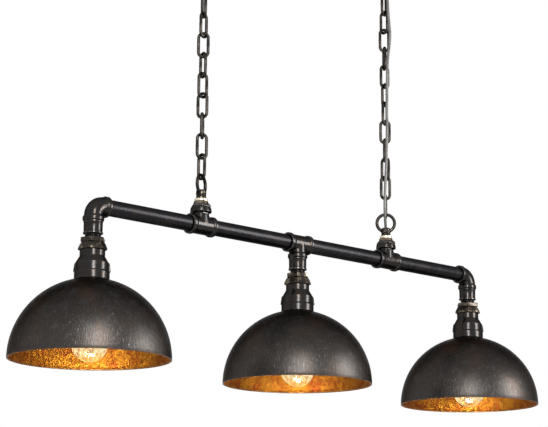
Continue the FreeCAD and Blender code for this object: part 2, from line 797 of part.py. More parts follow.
def make_bar():
    """The four pipes and the five fittings that join them."""
    outline = [
        (PIPE_BORE, "0"),
        ("pipe_od / 2", "0"),
        ("pipe_od / 2", PIPE_LENGTH),
        (PIPE_BORE, PIPE_LENGTH),
    ]
    names = ["left_end_pipe", "left_middle_pipe", "right_middle_pipe", "right_end_pipe"]
    for number, name in enumerate(names):
        start = f"({number - len(names) // 2}) * {HANGER_X} + {PIPE_START}"
        node(name, turned(f"{name}_body", outline, (start, "0", PIPE), ALONG_X))
    make_elbow("left_elbow", lamp_x("left"), 1)
    make_elbow("right_elbow", lamp_x("right"), -1)
    make_tee("centre_tee", lamp_x("middle"), FLIPPED, FITTING_REACH, "band_width")
    for side in HANGERS:
        make_tee(f"{side}_hanger_tee", hanger_x(side), Rotation(), BRANCH_REACH, "branch_band")


def make_hanger_stacks():
    """What stands on each hanger tee: a bushing, a nipple and a round nut."""
    flats, foot = "(pipe_od + 2 * bushing_shoulder)", f"(-{BUSHING_PLUG})"
    outline = [
        (NIPPLE_HOLE, foot),
        ("pipe_od / 2", foot),
        ("pipe_od / 2", "0"),
        (flats, "0"),
        (flats, "bushing_height - bushing_slope"),
        (f"{NUT_RADIUS} + bushing_land + bushing_slope * 2", "bushing_height - bushing_slope"),
        (f"{NUT_RADIUS} + bushing_land", "bushing_height"),
        (NIPPLE_HOLE, "bushing_height"),
    ]
    height, base = f"{BUSHING_PLUG} + bushing_height", ("0", "0", foot)
    bushings, nipples, nuts = [], [], []
    for side in HANGERS:
        x = hanger_x(side)
        blank = prism(f"{side}_bushing_blank", HEX_SIDES, flats, height, base)
        shape = turned(f"{side}_bushing_turned", outline)
        bushings.append(common(f"{side}_bushing", shape, blank, (x, "0", BUSHING)))
        nipple_foot = f"{BUSHING} - {BUSHING_PLUG}"
        nipples.append(make_nipple(f"{side}_hanger_nipple", x, nipple_foot, f"{LOWER_SEAT} + nipple_grip"))
        nuts.append(make_round_nut(f"{side}_hanger_nut", x, f"{LOWER_SEAT} - nut_height"))
    group("hanger_bushings", bushings)
    group("hanger_nipples", nipples)
    group("hanger_nuts", nuts)


def make_stem(side):
    """The pipe pieces between one fitting and its shade. Returns the alike ones."""
    nipple = turned(f"{side}_lamp_nipple", [
        (PIPE_BORE, "pipe_stop - pipe_insert"),
        ("pipe_od / 2", "pipe_stop - pipe_insert"),
        ("pipe_od / 2", "pipe_insert - pipe_stop"),
        (PIPE_BORE, "pipe_insert - pipe_stop"),
    ], lamp_spot(side))
    coupling = turned(f"{side}_coupling", [
        (TAIL_BORE, f"{HEX_TOP} - tail_length"),
        ("tail_od / 2", f"{HEX_TOP} - tail_length"),
        ("tail_od / 2", HEX_TOP),
        ("tail_od / 2 + neck_stand", HEX_TOP),
        ("tail_od / 2 + neck_stand", f"{NECK} - coupling_bevel"),
        (COUPLING_RADIUS, NECK),
        (COUPLING_RADIUS, "-coupling_bevel"),
        (f"{COUPLING_RADIUS} - coupling_bevel", "0"),
        (SOCKET, "0"),
        (SOCKET, "-pipe_insert"),
        (TAIL_BORE, "-pipe_insert"),
    ], lamp_spot(side))
    make_union_ring(side)
    return nipple, coupling, make_tailpiece(side)


def make_tailpiece(side):
    """The union's upper half: a hex to turn it by and a flange that the ring pulls down."""
    flats, socket_foot = f"(2 * ({TAIL_SOCKET} + hex_wall))", f"{HEX_TOP} - tail_length - pipe_stop"
    shape = turned(f"{side}_tailpiece_turned", [
        (TAIL_BORE, SPIGOT_TOP),
        (FLANGE, SPIGOT_TOP),
        (FLANGE, RING_WEB),
        (SHANK, RING_WEB),
        (SHANK, RING_TOP),
        (flats, RING_TOP),
        (flats, HEX_TOP),
        (TAIL_SOCKET, HEX_TOP),
        (TAIL_SOCKET, socket_foot),
        (TAIL_BORE, socket_foot),
    ])
    base = ("0", "0", SPIGOT_TOP)
    hexagon = prism(f"{side}_hex", HEX_SIDES, flats, f"{HEX_TOP} - {SPIGOT_TOP}", base, about_z(HEX_TURN))
    flange = cylinder(f"{side}_flange", FLANGE, "flange_height", base)
    blank = fused(f"{side}_tailpiece_blank", [hexagon, flange])
    return common(f"{side}_tailpiece", shape, blank, lamp_spot(side))


def make_union_ring(side):
    """The union's eight-sided ring nut. Its lip pulls the tailpiece onto the reducer."""
    corners = f"({RING_FLATS} / 2 / cos(180 deg / {OCTAGON_SIDES}))"
    shape = turned(f"{side}_ring_turned", [
        (f"{SHANK} + thread_gap", RING_TOP),
        (f"{SHANK} + ring_lip", RING_TOP),
        (corners, f"{REDUCER} + ring_edge"),
        (corners, REDUCER),
        (f"{SPIGOT} + thread_gap", REDUCER),
        (f"{SPIGOT} + thread_gap", f"{RING_WEB} + thread_gap"),
        (f"{SHANK} + thread_gap", f"{RING_WEB} + thread_gap"),
    ])
    base = ("0", "0", REDUCER)
    blank = prism(f"{side}_octagon", OCTAGON_SIDES, RING_FLATS, "ring_height", base, about_z(RING_TURN))
    node(f"{side}_union_ring", common(f"{side}_ring", shape, blank, lamp_spot(side)))


def make_reducer(side):
    """The bell reducer that sits on the shade, with a web inside that carries the lampholder."""
    inner = f"({COLLAR_RADIUS} - reducer_wall)"
    casting = turned(f"{side}_reducer_cast", [
        (NIPPLE_HOLE, WEB_FOOT),
        (NIPPLE_HOLE, WEB_TOP),
        (f"{SPIGOT} - reducer_wall", WEB_TOP),
        (f"{SPIGOT} - reducer_wall", SPIGOT_TOP),
        (SPIGOT, SPIGOT_TOP),
        (SPIGOT, REDUCER),
        (REDUCER_NECK, REDUCER),
        (REDUCER_NECK, SHOULDER),
        (COLLAR_RADIUS, COLLAR),
        (COLLAR_RADIUS, BEAD),
        (BEAD_RADIUS, f"{BEAD} - bead_bevel"),
        (BEAD_RADIUS, BEAD_FOOT),
        (inner, f"{RIM} + seat_gap + sqrt(shade_radius ^ 2 - {inner} ^ 2)"),
        (inner, f"{COLLAR} - reducer_wall / 2"),
        (f"{REDUCER_NECK} - reducer_wall", WEB_FOOT),
    ])
    ribs, rib_reach = [], "(rib_stand + reducer_wall / 2)"
    rib_end = f"({COLLAR_RADIUS} + rib_stand)"
    for start in (f"{rib_end} - {rib_reach}", f"-{rib_end}"):
        rib = doc.addObject("Part::Box", f"{side}_rib")
        bind(rib, Length=rib_reach, Width="rib_width", Height="rib_height")
        ribs.append(put(rib, (start, "-rib_width / 2", f"{BEAD} - rib_foot")))
    whole = fused(f"{side}_reducer_whole", [casting] + ribs, lamp_spot(side), about_z(FACE_TURN))
    node(f"{side}_reducer", whole)


def make_shade(side):
    """The half-round shade, with the hole that the lampholder passes through."""
    node(f"{side}_shade", turned(f"{side}_shade_spun", [
        (SHADE_HOLE, f"{RIM} + sqrt({SHADE_INNER} ^ 2 - {SHADE_HOLE} ^ 2)", SHADE_INNER, -1),
        (SHADE_INNER, RIM),
        ("shade_radius", RIM, "shade_radius", 1),
        (SHADE_HOLE, f"{RIM} + sqrt(shade_radius ^ 2 - {SHADE_HOLE} ^ 2)"),
    ], lamp_spot(side)))


def make_lampholder(side):
    """The lampholder with its metal contacts, its lock nut and the ring that clamps the
    shade. Returns the five pieces."""
    spot = lamp_spot(side)
    bore = f"({SHELL_OUTER} + thread_gap)"
    holder = turned(f"{side}_lampholder", [
        ("0", HOLDER_FLOOR),
        (bore, HOLDER_FLOOR),
        (bore, HOLDER_MOUTH),
        (f"{HOLDER_RADIUS} - holder_bevel", HOLDER_MOUTH),
        (HOLDER_RADIUS, f"{HOLDER_MOUTH} + holder_bevel"),
        (HOLDER_RADIUS, f"{HOLDER} - holder_cap_height"),
        (f"{HOLDER_RADIUS} - holder_waist_step", f"{HOLDER} - holder_cap_height"),
        (HOLDER_CAP, HOLDER),
        (NIPPLE_RADIUS, HOLDER),
        (NIPPLE_RADIUS, SPIGOT_END),
        ("holder_wire_hole", SPIGOT_END),
        ("holder_wire_hole", WIRE_FOOT),
        ("0", WIRE_FOOT),
    ], spot)
    shell_foot = f"{HOLDER_MOUTH} + shell_inset"
    shell = turned(f"{side}_screw_shell", [
        (SHELL_INNER, shell_foot),
        (SHELL_OUTER, shell_foot),
        (SHELL_OUTER, f"{shell_foot} + shell_length"),
        (SHELL_INNER, f"{shell_foot} + shell_length"),
    ], spot)
    contact_spot = lamp_spot(side, f"{HOLDER_FLOOR} - contact_height")
    contact = cylinder(f"{side}_contact", "contact_radius", "contact_height", contact_spot)
    nut_outer, nut_top = f"{NIPPLE_HOLE} + lock_nut_wall", f"{WEB_TOP} + lock_nut_height"
    lock_nut = turned(f"{side}_lock_nut", [
        (NIPPLE_HOLE, WEB_TOP),
        (nut_outer, WEB_TOP),
        (nut_outer, nut_top),
        (NIPPLE_HOLE, nut_top),
    ], spot)
    near, far = f"({HOLDER_RADIUS} + thread_gap)", f"({HOLDER_RADIUS} + shade_ring_width)"
    far_top = f"{RIM} - seat_gap + sqrt({SHADE_INNER} ^ 2 - {far} ^ 2)"
    shade_ring = turned(f"{side}_shade_ring", [
        (near, f"{far_top} - shade_ring_height"),
        (far, f"{far_top} - shade_ring_height"),
        (far, far_top),
        (near, f"{RIM} - seat_gap + sqrt({SHADE_INNER} ^ 2 - {near} ^ 2)"),
    ], spot)
    return holder, shell, contact, lock_nut, shade_ring


def make_bulb(side):
    """One bulb: its screw cap, its glass with the stem inside, and its filament."""
    spot = lamp_spot(side)
    neck, tip = f"({BULB} - glass_neck)", f"({BULB} - glass_length)"
    belly = f"({tip} + glass_radius)"
    flare, rise = f"(glass_radius - {GLASS_NECK})", "(glass_length - glass_neck - glass_radius)"
    flank = f"(({flare} ^ 2 + {rise} ^ 2) / (2 * {flare}))"
    wall = "glass_wall"
    node(f"{side}_bulb_glass", turned(f"{side}_bulb_blown", [
        ("0", BULB),
        ("0", f"{BULB} - stem_length"),
        ("stem_radius", f"{BULB} - stem_length"),
        ("stem_radius", f"{BULB} - {wall}"),
        (f"{GLASS_NECK} - {wall}", f"{BULB} - {wall}"),
        (f"{GLASS_NECK} - {wall}", neck, f"{flank} - {wall}", -1),
        (f"glass_radius - {wall}", belly, f"glass_radius - {wall}", -1),
        ("0", f"{tip} + {wall}"),
        ("0", tip, "glass_radius", 1),
        ("glass_radius", belly, flank, 1),
        (GLASS_NECK, neck),
        (GLASS_NECK, BULB),
    ], spot))
    cap_tip = f"({HOLDER_FLOOR} - contact_height - bulb_gap)"
    node(f"{side}_bulb_cap", turned(f"{side}_bulb_cap_pressed", [
        ("0", BULB),
        (GLASS_NECK, BULB),
        ("cap_radius", f"{HOLDER_MOUTH} - cap_stand_off / 4"),
        ("cap_radius", f"{cap_tip} - cap_taper"),
        ("cap_tip_radius", cap_tip),
        ("0", cap_tip),
    ], spot))
    node(f"{side}_filament", feature(f"{side}_filament_wire", filament_wire(), spot))


def filament_wire():
    """A cage of straight legs that zigzags round the glass stem, hung from its end."""
    base, hold = measure(BULB), measure("stem_radius + bulb_gap")
    rings = [
        (measure("filament_top_radius"), base - measure("filament_top")),
        (measure("filament_foot_radius"), base - measure("filament_foot")),
    ]
    spots = []
    for number in range(FILAMENT_LEGS + 1):
        radius, level = rings[number % 2]
        angle = 2 * math.pi * number / (FILAMENT_LEGS + 1)
        spots.append(Vector(radius * math.cos(angle), radius * math.sin(angle), level))
    ends = [Vector(p.x, p.y, 0).normalize() * hold + Vector(0, 0, p.z) for p in (spots[0], spots[-1])]
    route = [ends[0]] + spots + [ends[1]]
    return tube(route, measure("filament_wire"), measure("filament_bend"))[0]


def make_wiring():
    """The cord's tail, the splice in the right tee and a wire from there to each lamp."""
    x, pipe = measure(HANGER_X), measure(PIPE)
    end, side = measure("splice_length / 2"), measure("lamp_wire_side")
    thick, bend = measure("lamp_wire_diameter"), measure("lamp_wire_bend")
    lamp_top = measure(LAMP_TOP)
    foot = lamp_top + measure(f"{WIRE_FOOT} + thread_gap")
    tail_top = cord_route()[-1].z
    tail_foot = pipe + measure("splice_radius")
    wires = [Part.makeCylinder(measure("cord_diameter / 2"), tail_top - tail_foot, Vector(x, 0, tail_foot))]
    for name, sign, across in (("left", -1, -side), ("middle", -1, side), ("right", 1, 0.0)):
        lamp = measure(lamp_x(name))
        route = [Vector(x + sign * end, across, pipe), Vector(lamp, across, pipe)]
        if across:
            route.append(Vector(lamp, across, lamp_top + measure(NECK)))
            route.append(Vector(lamp, 0, lamp_top + measure(RING_WEB)))
        route.append(Vector(lamp, 0, foot))
        wires.append(tube(route, thick, bend)[0])
    node("bar_wires", feature("bar_wires", Part.makeCompound(wires)))
    spot = (f"{HANGER_X} - splice_length / 2", "0", PIPE)
    node("splice_connector", cylinder("splice_body", "splice_radius", "splice_length", spot, ALONG_X))


def make_lamps():
    """Three alike lamps. The pieces that are the same on each share one node."""
    alike = {}
    for side in SIDES:
        stem = zip(("lamp_nipples", "couplings", "union_tailpieces"), make_stem(side))
        holder_names = ("lampholders", "screw_shells", "centre_contacts", "lock_nuts", "shade_rings")
        for name, piece in list(stem) + list(zip(holder_names, make_lampholder(side))):
            alike.setdefault(name, []).append(piece)
        make_reducer(side)
        make_shade(side)
        make_bulb(side)
    for name, pieces in alike.items():
        group(name, pieces)


def check_and_export():
    """Stops on any failed object or bad shape, then writes each sub-part's file."""
    doc.recompute()
    for item in doc.Objects:
        if {"Invalid", "Error"} & set(item.State):
            raise RuntimeError(f"{item.Label} failed: {item.State}")
    shapes = {name: Part.getShape(item) for name, item in NODES.items()}
    for name, shape in shapes.items():
        if shape.isNull() or not shape.isValid() or not shape.Solids:
            raise RuntimeError(f"{name} has no valid solid")
        if min(solid.Volume for solid in shape.Solids) <= 0:
            raise RuntimeError(f"{name} has a solid that is turned inside out")
    os.makedirs("parts", exist_ok=True)
    for name, shape in shapes.items():
        shape.exportStep(f"parts/{name}.step")
    print("nodes", len(shapes))


make_canopies()
make_loops()
make_chains()
make_cord()
make_supply_leads()
make_bar()
make_hanger_stacks()
make_lamps()
make_wiring()
check_and_export()
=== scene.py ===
"""Three-light bar pendant, dressed round its CAD frame.

The frame's axes: X runs along the bar, Z is up, and the origin is on the ceiling midway
between the two canopies. Outlines are written in millimetres, everything else in metres.
"""

import json
import math

import bmesh
import bpy
from mathutils import Matrix, Vector


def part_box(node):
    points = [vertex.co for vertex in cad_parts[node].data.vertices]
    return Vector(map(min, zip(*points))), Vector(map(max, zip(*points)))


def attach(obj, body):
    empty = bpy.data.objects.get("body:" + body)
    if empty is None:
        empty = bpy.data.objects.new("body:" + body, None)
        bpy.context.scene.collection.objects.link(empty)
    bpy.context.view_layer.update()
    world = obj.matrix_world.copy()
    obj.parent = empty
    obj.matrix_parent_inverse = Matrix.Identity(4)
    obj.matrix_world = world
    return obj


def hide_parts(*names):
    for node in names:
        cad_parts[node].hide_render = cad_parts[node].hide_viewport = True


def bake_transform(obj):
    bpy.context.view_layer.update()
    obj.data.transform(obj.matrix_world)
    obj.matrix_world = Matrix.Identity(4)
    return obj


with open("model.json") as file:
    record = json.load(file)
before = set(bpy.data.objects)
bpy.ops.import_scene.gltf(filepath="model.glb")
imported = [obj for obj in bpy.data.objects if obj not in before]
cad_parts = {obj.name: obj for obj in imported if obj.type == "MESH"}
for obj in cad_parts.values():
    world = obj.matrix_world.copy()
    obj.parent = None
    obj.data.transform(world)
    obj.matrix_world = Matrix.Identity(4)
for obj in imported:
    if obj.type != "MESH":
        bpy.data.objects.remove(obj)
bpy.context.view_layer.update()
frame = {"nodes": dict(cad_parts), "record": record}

bl_info = {
    "name": "Bar pendant with three shades",
    "version": (1, 0, 0),
    "blender": (4, 5, 0),
    "location": "3D View > Sidebar > Pendant",
    "description": "Shapes and finishes for the CAD frame of a three-light bar pendant",
    "category": "Object",
}

SLOTS = {part["node"]: part["material_slot"] for part in frame["record"]["subparts"]}
BODIES = {n: b for b, names in frame["record"]["behaviour"]["bodies"].items() for n in names}
MM = 0.001


def middle(node):
    """The middle of a CAD node's box."""
    low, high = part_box(node)
    return (low + high) / 2


def foot(node):
    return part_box(node)[0].z


def head(node):
    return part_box(node)[1].z


# Places read from the frame
LAMPS = {side: middle(f"{side}_shade").x for side in ("left", "middle", "right")}
HANGERS = {side: middle(f"{side}_canopy").x for side in ("left", "right")}
LAMP_SPACING = LAMPS["right"]
RIM = foot("middle_shade")
PIPE = middle("left_end_pipe").z
FITTING_END = foot("centre_tee")
LOWER_SEAT = foot("hanger_loops")
UPPER_SEAT = head("canopy_loops")
BUSHING_TOP = head("hanger_bushings")
SHADE_RADIUS = -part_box("middle_shade")[0].y
REDUCER_FOOT = foot("middle_reducer")
COLLAR_FOOT, COLLAR_TOP = REDUCER_FOOT + 0.0140, REDUCER_FOOT + 0.0400
BRANCH_BAND = head("left_hanger_tee") - 0.0095
BULB_FOOT = foot("middle_bulb_glass")

# The links' turns about Z in degrees, from the lowest up, counted from the plane that
# faces the viewpoint
FACE_TURN = -42.4
LINK_TURNS = {
    "left": [-50, 20, 85, -20, 38, -57, 0, 57, -67, 5, 75, -15],
    "right": [90, 14, -44, 76, 0, 60, -62, 33, -82, 10, -47, 60],
}
HANGER_LOOP_TURN = {"left": 68, "right": 0}
CANOPY_LOOP_TURN = {"left": 75, "right": -16}
HEX_TURN = -12.4

# The supply cord's route: to the right of the chain, in front of it, and below the upper
# loop's collar. The last points are counted up from the lower loop's collar.
UPPER_ROUTE = [
    (0.0, 0.0, 0.006), (0.0035, 0.0055, 0.017), (0.0063, 0.0105, 0.030),
    (0.0066, 0.0140, 0.050), (0.0082, 0.0146, 0.077), (0.0112, 0.0138, 0.113),
    (0.0054, 0.0150, 0.149), (0.0044, 0.0144, 0.185), (0.0034, 0.0150, 0.221),
    (0.0030, 0.0145, 0.257), (0.0032, 0.0152, 0.293), (0.0018, 0.0150, 0.329),
    (0.0008, 0.0146, 0.365), (-0.0012, 0.0150, 0.401),
]
LOWER_ROUTE = [
    (-0.0024, 0.0150, 0.049), (-0.0024, 0.0150, 0.034), (-0.0022, 0.0122, 0.0215),
    (-0.0008, 0.0052, 0.0090), (0.0, 0.0, -0.0015),
]


def colour(name, text, default):
    return bpy.props.FloatVectorProperty(
        name=name, description=text, subtype="COLOR", size=3, min=0, max=1, default=default
    )


def amount(name, text, default, unit="NONE"):
    return bpy.props.FloatProperty(
        name=name, description=text, unit=unit, min=0, default=default
    )


def length(name, text, default):
    return amount(name, text, default, "LENGTH")


class ShadeSettings(bpy.types.PropertyGroup):
    radius: length("Radius", "Outer radius of the half-round shade", SHADE_RADIUS)
    wall: length("Wall", "Thickness of the spun sheet", 0.0015)
    hole: length("Hole", "Radius of the hole for the lampholder", 0.0206)
    bead: length("Bead", "Radius of the rolled edge at the rim", 0.0011)
    dark: colour("Dark bronze", "Outside where the patina is thickest", (0.025, 0.0225, 0.0215))
    brown: colour("Brown bronze", "Outside where the patina is reddish", (0.038, 0.027, 0.022))
    # The brushed colour also serves as painted highlight, mixed in more towards the rim.
    brushed: colour("Brushed metal", "Strokes brushed through the patina", (0.170, 0.155, 0.140))
    gold: colour("Gold leaf", "Main colour of the leaf inside", (0.245, 0.110, 0.016))
    copper: colour("Copper leaf", "Darker, redder patches of the leaf", (0.155, 0.036, 0.011))


class IronSettings(bpy.types.PropertyGroup):
    voxel: length("Grain", "Size of the voxels that round off a casting", 0.0007)
    pipe: colour("Pipe", "Black steel pipe", (0.0150, 0.0145, 0.0160))
    cast: colour("Casting", "Blackened cast fittings", (0.026, 0.025, 0.025))
    rust: colour("Brown", "Brown stain in the castings' hollows", (0.034, 0.027, 0.022))
    bare: colour("Worn edges", "Iron worn bare along the edges", (0.16, 0.15, 0.14))


class ChainSettings(bpy.types.PropertyGroup):
    wire: length("Wire", "Diameter of the links' wire", 0.0054)
    width: length("Width", "Outer width of a link", 0.022)
    pitch: length("Pitch", "Distance from one link to the next", 0.036)
    inside: length("Inner length", "Length of the opening in a link", 0.0368)
    iron: colour("Iron", "Dark oiled wire", (0.026, 0.024, 0.022))
    brass: colour("Brass", "Aged brass of the cast loops", (0.22, 0.18, 0.125))
    patina: colour("Patina", "Dark patina on the cast loops", (0.021, 0.019, 0.018))


class CordSettings(bpy.types.PropertyGroup):
    diameter: length("Diameter", "Diameter of the supply cord", 0.0052)
    jacket: colour("Jacket", "Colour of the cord's jacket", (0.145, 0.140, 0.130))


class BulbSettings(bpy.types.PropertyGroup):
    glow: colour("Glow", "Colour of the light from the bulbs", (1.0, 0.85, 0.42))
    power: amount("Power", "Light from each bulb", 4.3, "POWER")
    filament: amount("Filament", "Brightness of the filament", 40.0)


class StageSettings(bpy.types.PropertyGroup):
    camera_spot: bpy.props.FloatVectorProperty(
        name="Camera", description="Where the camera stands", subtype="XYZ", unit="LENGTH",
        size=3, default=(-2.0955, -2.2583, RIM - 0.3838),
    )
    camera_turn: bpy.props.FloatVectorProperty(
        name="Direction", description="The camera's pitch, roll and yaw", subtype="EULER",
        unit="ROTATION", size=3, default=[math.radians(a) for a in (102.588, -0.3163, -42.146)],
    )
    lens: amount("Lens", "Focal length in millimetres", 116.92)
    floor: length("Floor", "How far the floor is below the ceiling", 1.55)
    fill: amount("Fill", "Strength of the soft light from all round", 0.30)


SETTINGS = {
    "pendant_shade": ShadeSettings,
    "pendant_iron": IronSettings,
    "pendant_chain": ChainSettings,
    "pendant_cord": CordSettings,
    "pendant_bulb": BulbSettings,
    "pendant_stage": StageSettings,
}


# Shader graphs


class Signal:
    """One shader socket. Arithmetic on it adds Math nodes to its graph."""

    def __init__(self, graph, socket):
        self.graph, self.socket = graph, socket

    def maths(self, operation, *terms):
        return self.graph.node("ShaderNodeMath", {"operation": operation}, dict(enumerate(terms)))

    def __add__(self, other):
        return self.maths("ADD", self, other)

    def __mul__(self, other):
        return self.maths("MULTIPLY", self, other)

    def __sub__(self, other):
        return self.maths("SUBTRACT", self, other)

    def __rsub__(self, other):
        return self.maths("SUBTRACT", other, self)

    def __truediv__(self, other):
        return self.maths("DIVIDE", self, other)

    def __rtruediv__(self, other):
        return self.maths("DIVIDE", other, self)

    def __pow__(self, other):
        return self.maths("POWER", self, other)

    def rounded(self):
        return self.maths("ROUND", self)

    def largest(self, other):
        return self.maths("MAXIMUM", self, other)

    __radd__, __rmul__ = __add__, __mul__


class Graph:
    """The nodes of one material or of the world."""

    def __init__(self, tree):
        self.tree = tree
        tree.nodes.clear()

    def node(self, kind, settings=None, values=None, output=0):
        """Adds a node: its settings first, then the values or links of its sockets."""
        made = self.tree.nodes.new(kind)
        for setting, value in (settings or {}).items():
            setattr(made, setting, value)
        for socket, value in (values or {}).items():
            if isinstance(value, Signal):
                self.tree.links.new(value.socket, made.inputs[socket])
            else:
                made.inputs[socket].default_value = value
        return Signal(self, made.outputs[output] if made.outputs else None)

    def place(self):
        return self.node("ShaderNodeTexCoord", output="Object")

    def parts(self, vector):
        """A vector's three numbers."""
        split = self.node("ShaderNodeSeparateXYZ", values={0: vector}).socket.node
        return [Signal(self, split.outputs[axis]) for axis in "XYZ"]

    def vector(self, x, y, z):
        return self.node("ShaderNodeCombineXYZ", values={0: x, 1: y, 2: z})

    def mapped(self, vector, turn, stretch):
        """Coordinates turned about the three axes, then stretched along them."""
        values = {"Vector": vector, "Rotation": turn, "Scale": stretch}
        return self.node("ShaderNodeMapping", values=values)

    def noise(self, vector, scale, detail=3.0, roughness=0.5, distortion=0.0):
        values = {"Vector": vector, "Scale": scale, "Detail": detail,
                  "Roughness": roughness, "Distortion": distortion}
        return self.node("ShaderNodeTexNoise", values=values)

    def cells(self, vector, scale):
        """The distance to the middle of the nearest cell."""
        values = {"Vector": vector, "Scale": scale}
        return self.node("ShaderNodeTexVoronoi", values=values, output="Distance")

    def between(self, value, low, high, start=0.0, end=1.0):
        """A smooth step of a value from low to high, as a number from start to end."""
        values = {"Value": value, "From Min": low, "From Max": high,
                  "To Min": start, "To Max": end}
        return self.node("ShaderNodeMapRange", {"interpolation_type": "SMOOTHSTEP"}, values)

    def mixed(self, share, first, second):
        """Two colours mixed: the second by its share."""
        tints = [c if isinstance(c, Signal) else (*c, 1.0) for c in (first, second)]
        values = {0: share, 6: tints[0], 7: tints[1]}
        return self.node("ShaderNodeMix", {"data_type": "RGBA"}, values, output=2)

    def bump(self, height, strength, distance):
        values = {"Height": height, "Strength": strength, "Distance": distance}
        return self.node("ShaderNodeBump", values=values)

    def wear(self, low, high):
        """How much an edge stands out, from the shape of the mesh."""
        sharp = self.node("ShaderNodeNewGeometry", output="Pointiness")
        return self.between(sharp, low, high)


def finish(name, paint, *terms):
    """A material with one Principled shader, from a function that gives its sockets' values."""
    material = bpy.data.materials.new(name)
    material.use_nodes = True
    graph = Graph(material.node_tree)
    values = {socket: (*value, 1.0) if isinstance(value, tuple) else value
              for socket, value in paint(graph, *terms).items()}
    shader = graph.node("ShaderNodeBsdfPrincipled", values=values)
    graph.node("ShaderNodeOutputMaterial", values={"Surface": shader})
    return material


def lamp_place(graph):
    """Coordinates from the nearest lamp's axis, and that lamp's number along the bar."""
    x, y, z = graph.parts(graph.place())
    number = (x / LAMP_SPACING).rounded()
    across = x - number * LAMP_SPACING
    return across, y, z, number


def metal(base, rough, normal, metallic=0.95, edge=(1.0, 1.0, 1.0)):
    """What a metal sets. The edge is the share of its shine that is left at a slant."""
    return {"Base Color": base, "Metallic": metallic, "Roughness": rough,
            "Specular Tint": edge, "Normal": normal}


def brushed_bronze(graph, settings):
    """The shade's outside: dark patina with brown stains, brushed from crown to rim, with painted
    highlight lightening it towards the rim.
    """
    across, y, z, number = lamp_place(graph)
    reach = (across * across + y * y + 1e-8) ** 0.5
    shift = number * 3.7
    here = graph.vector(across + shift + 0.9, y, z)
    stain = graph.noise(here, 16.0, 6.0, 0.62, 0.5)
    blotch = graph.noise(here, 60.0, 5.0, 0.65, 0.6)
    longer = graph.vector(across / reach + shift, y / reach, z * 0.9 + shift)
    strokes = graph.noise(longer, 78.0, 4.0, 0.68, 0.3)
    shorter = graph.vector(across / reach, y / reach + shift, z * 2.2)
    fine = graph.noise(shorter, 115.0, 2.0, 0.5, 0.2)
    slanted = graph.mapped(here, (0.35, -0.30, 0.4), (1.0, 1.0, 0.13))
    scratches = graph.noise(slanted, 330.0, 2.0, 0.5, 0.5)
    stroke = graph.between(strokes, 0.50, 0.72)
    scratch = graph.between(scratches, 0.66, 0.75)
    dash = graph.between(fine, 0.60, 0.72)
    # Painted highlight: the brushed strokes and scratches are lightened most towards the rim,
    # where the key light's highlight falls, and least at the crown.
    low = graph.between(z, RIM, RIM + SHADE_RADIUS, 1.0, 0.25)
    base = graph.mixed(graph.between(stain, 0.45, 0.68), settings.dark, settings.brown)
    base = graph.mixed(graph.between(blotch, 0.50, 0.70) * 0.6, base, (0.044, 0.042, 0.043))
    # Painted highlight: the whole outside is lightened towards the rim, where the key light's
    # highlight falls, so the crown stays darker.
    rim_sheen = graph.between(z, RIM, RIM + 0.75 * SHADE_RADIUS, 0.15, 0.0)
    base = graph.mixed(rim_sheen + stroke * low * 0.14, base, settings.brushed)
    base = graph.mixed(scratch.largest(dash * 0.8) * low * 0.45, base, settings.brushed)
    rough = 0.375 + (blotch - 0.5) * 0.20 - stroke * 0.06 - (stain - 0.5) * 0.10
    height = strokes * 0.8 + blotch * 0.3 + scratch * 0.3 + dash * 0.3
    return metal(base, rough, graph.bump(height, 0.36, 0.0009), 1.0, (0.36, 0.36, 0.36))


def leaf_gold(graph, settings):
    """The shade's inside: crinkled gold leaf, redder in patches."""
    across, y, z, number = lamp_place(graph)
    here = graph.vector(across + number * 2.9, y, z)
    patch = graph.noise(here, 42.0, 6.0, 0.68, 1.0)
    drawn = graph.mapped(here, (0.0, 0.25, 0.3), (1.0, 1.0, 0.4))
    crinkle = graph.noise(drawn, 210.0, 5.0, 0.7, 1.6)
    crumbs = graph.noise(here, 430.0, 3.0, 0.6, 0.6)
    base = graph.mixed(graph.between(patch, 0.40, 0.66), settings.gold, settings.copper)
    base = graph.mixed(graph.between(crinkle, 0.34, 0.52, 0.6, 0.0), base, (0.085, 0.024, 0.010))
    base = graph.mixed(graph.between(crinkle, 0.56, 0.74) * 0.5, base, (0.40, 0.23, 0.048))
    rough = 0.36 + (crinkle - 0.5) * 0.3 + (crumbs - 0.5) * 0.15
    height = crinkle + crumbs * 0.3 + patch * 0.6
    return metal(base, rough, graph.bump(height, 0.5, 0.0013), 1.0)


def rim_copper(graph):
    """The shade's cut edge, rubbed back to copper."""
    patch = graph.noise(graph.place(), 90.0, 4.0, 0.6)
    share = graph.between(patch, 0.4, 0.65)
    base = graph.mixed(share, (0.22, 0.115, 0.060), (0.085, 0.045, 0.028))
    return metal(base, 0.34 + patch * 0.2, graph.bump(patch, 0.3, 0.0004), 1.0)


def black_pipe(graph, settings):
    """Satin black pipe with faint mill marks along it."""
    here = graph.place()
    scale = graph.noise(here, 38.0, 5.0, 0.6, 0.5)
    grain = graph.noise(here, 620.0, 3.0, 0.6)
    drawn = graph.noise(graph.mapped(here, (0, 0, 0), (0.06, 1.0, 1.0)), 420.0, 3.0, 0.6)
    share = graph.between(scale, 0.45, 0.7) * 0.8
    base = graph.mixed(share, settings.pipe, (0.024, 0.021, 0.020))
    base = graph.mixed(graph.between(drawn, 0.58, 0.75) * 0.25, base, (0.055, 0.053, 0.052))
    rough = 0.31 + (scale - 0.5) * 0.20 + (grain - 0.5) * 0.10
    height = grain * 0.6 + drawn * 0.5 + scale * 0.6
    return metal(base, rough, graph.bump(height, 0.25, 0.0005), 0.9, (0.35, 0.35, 0.36))


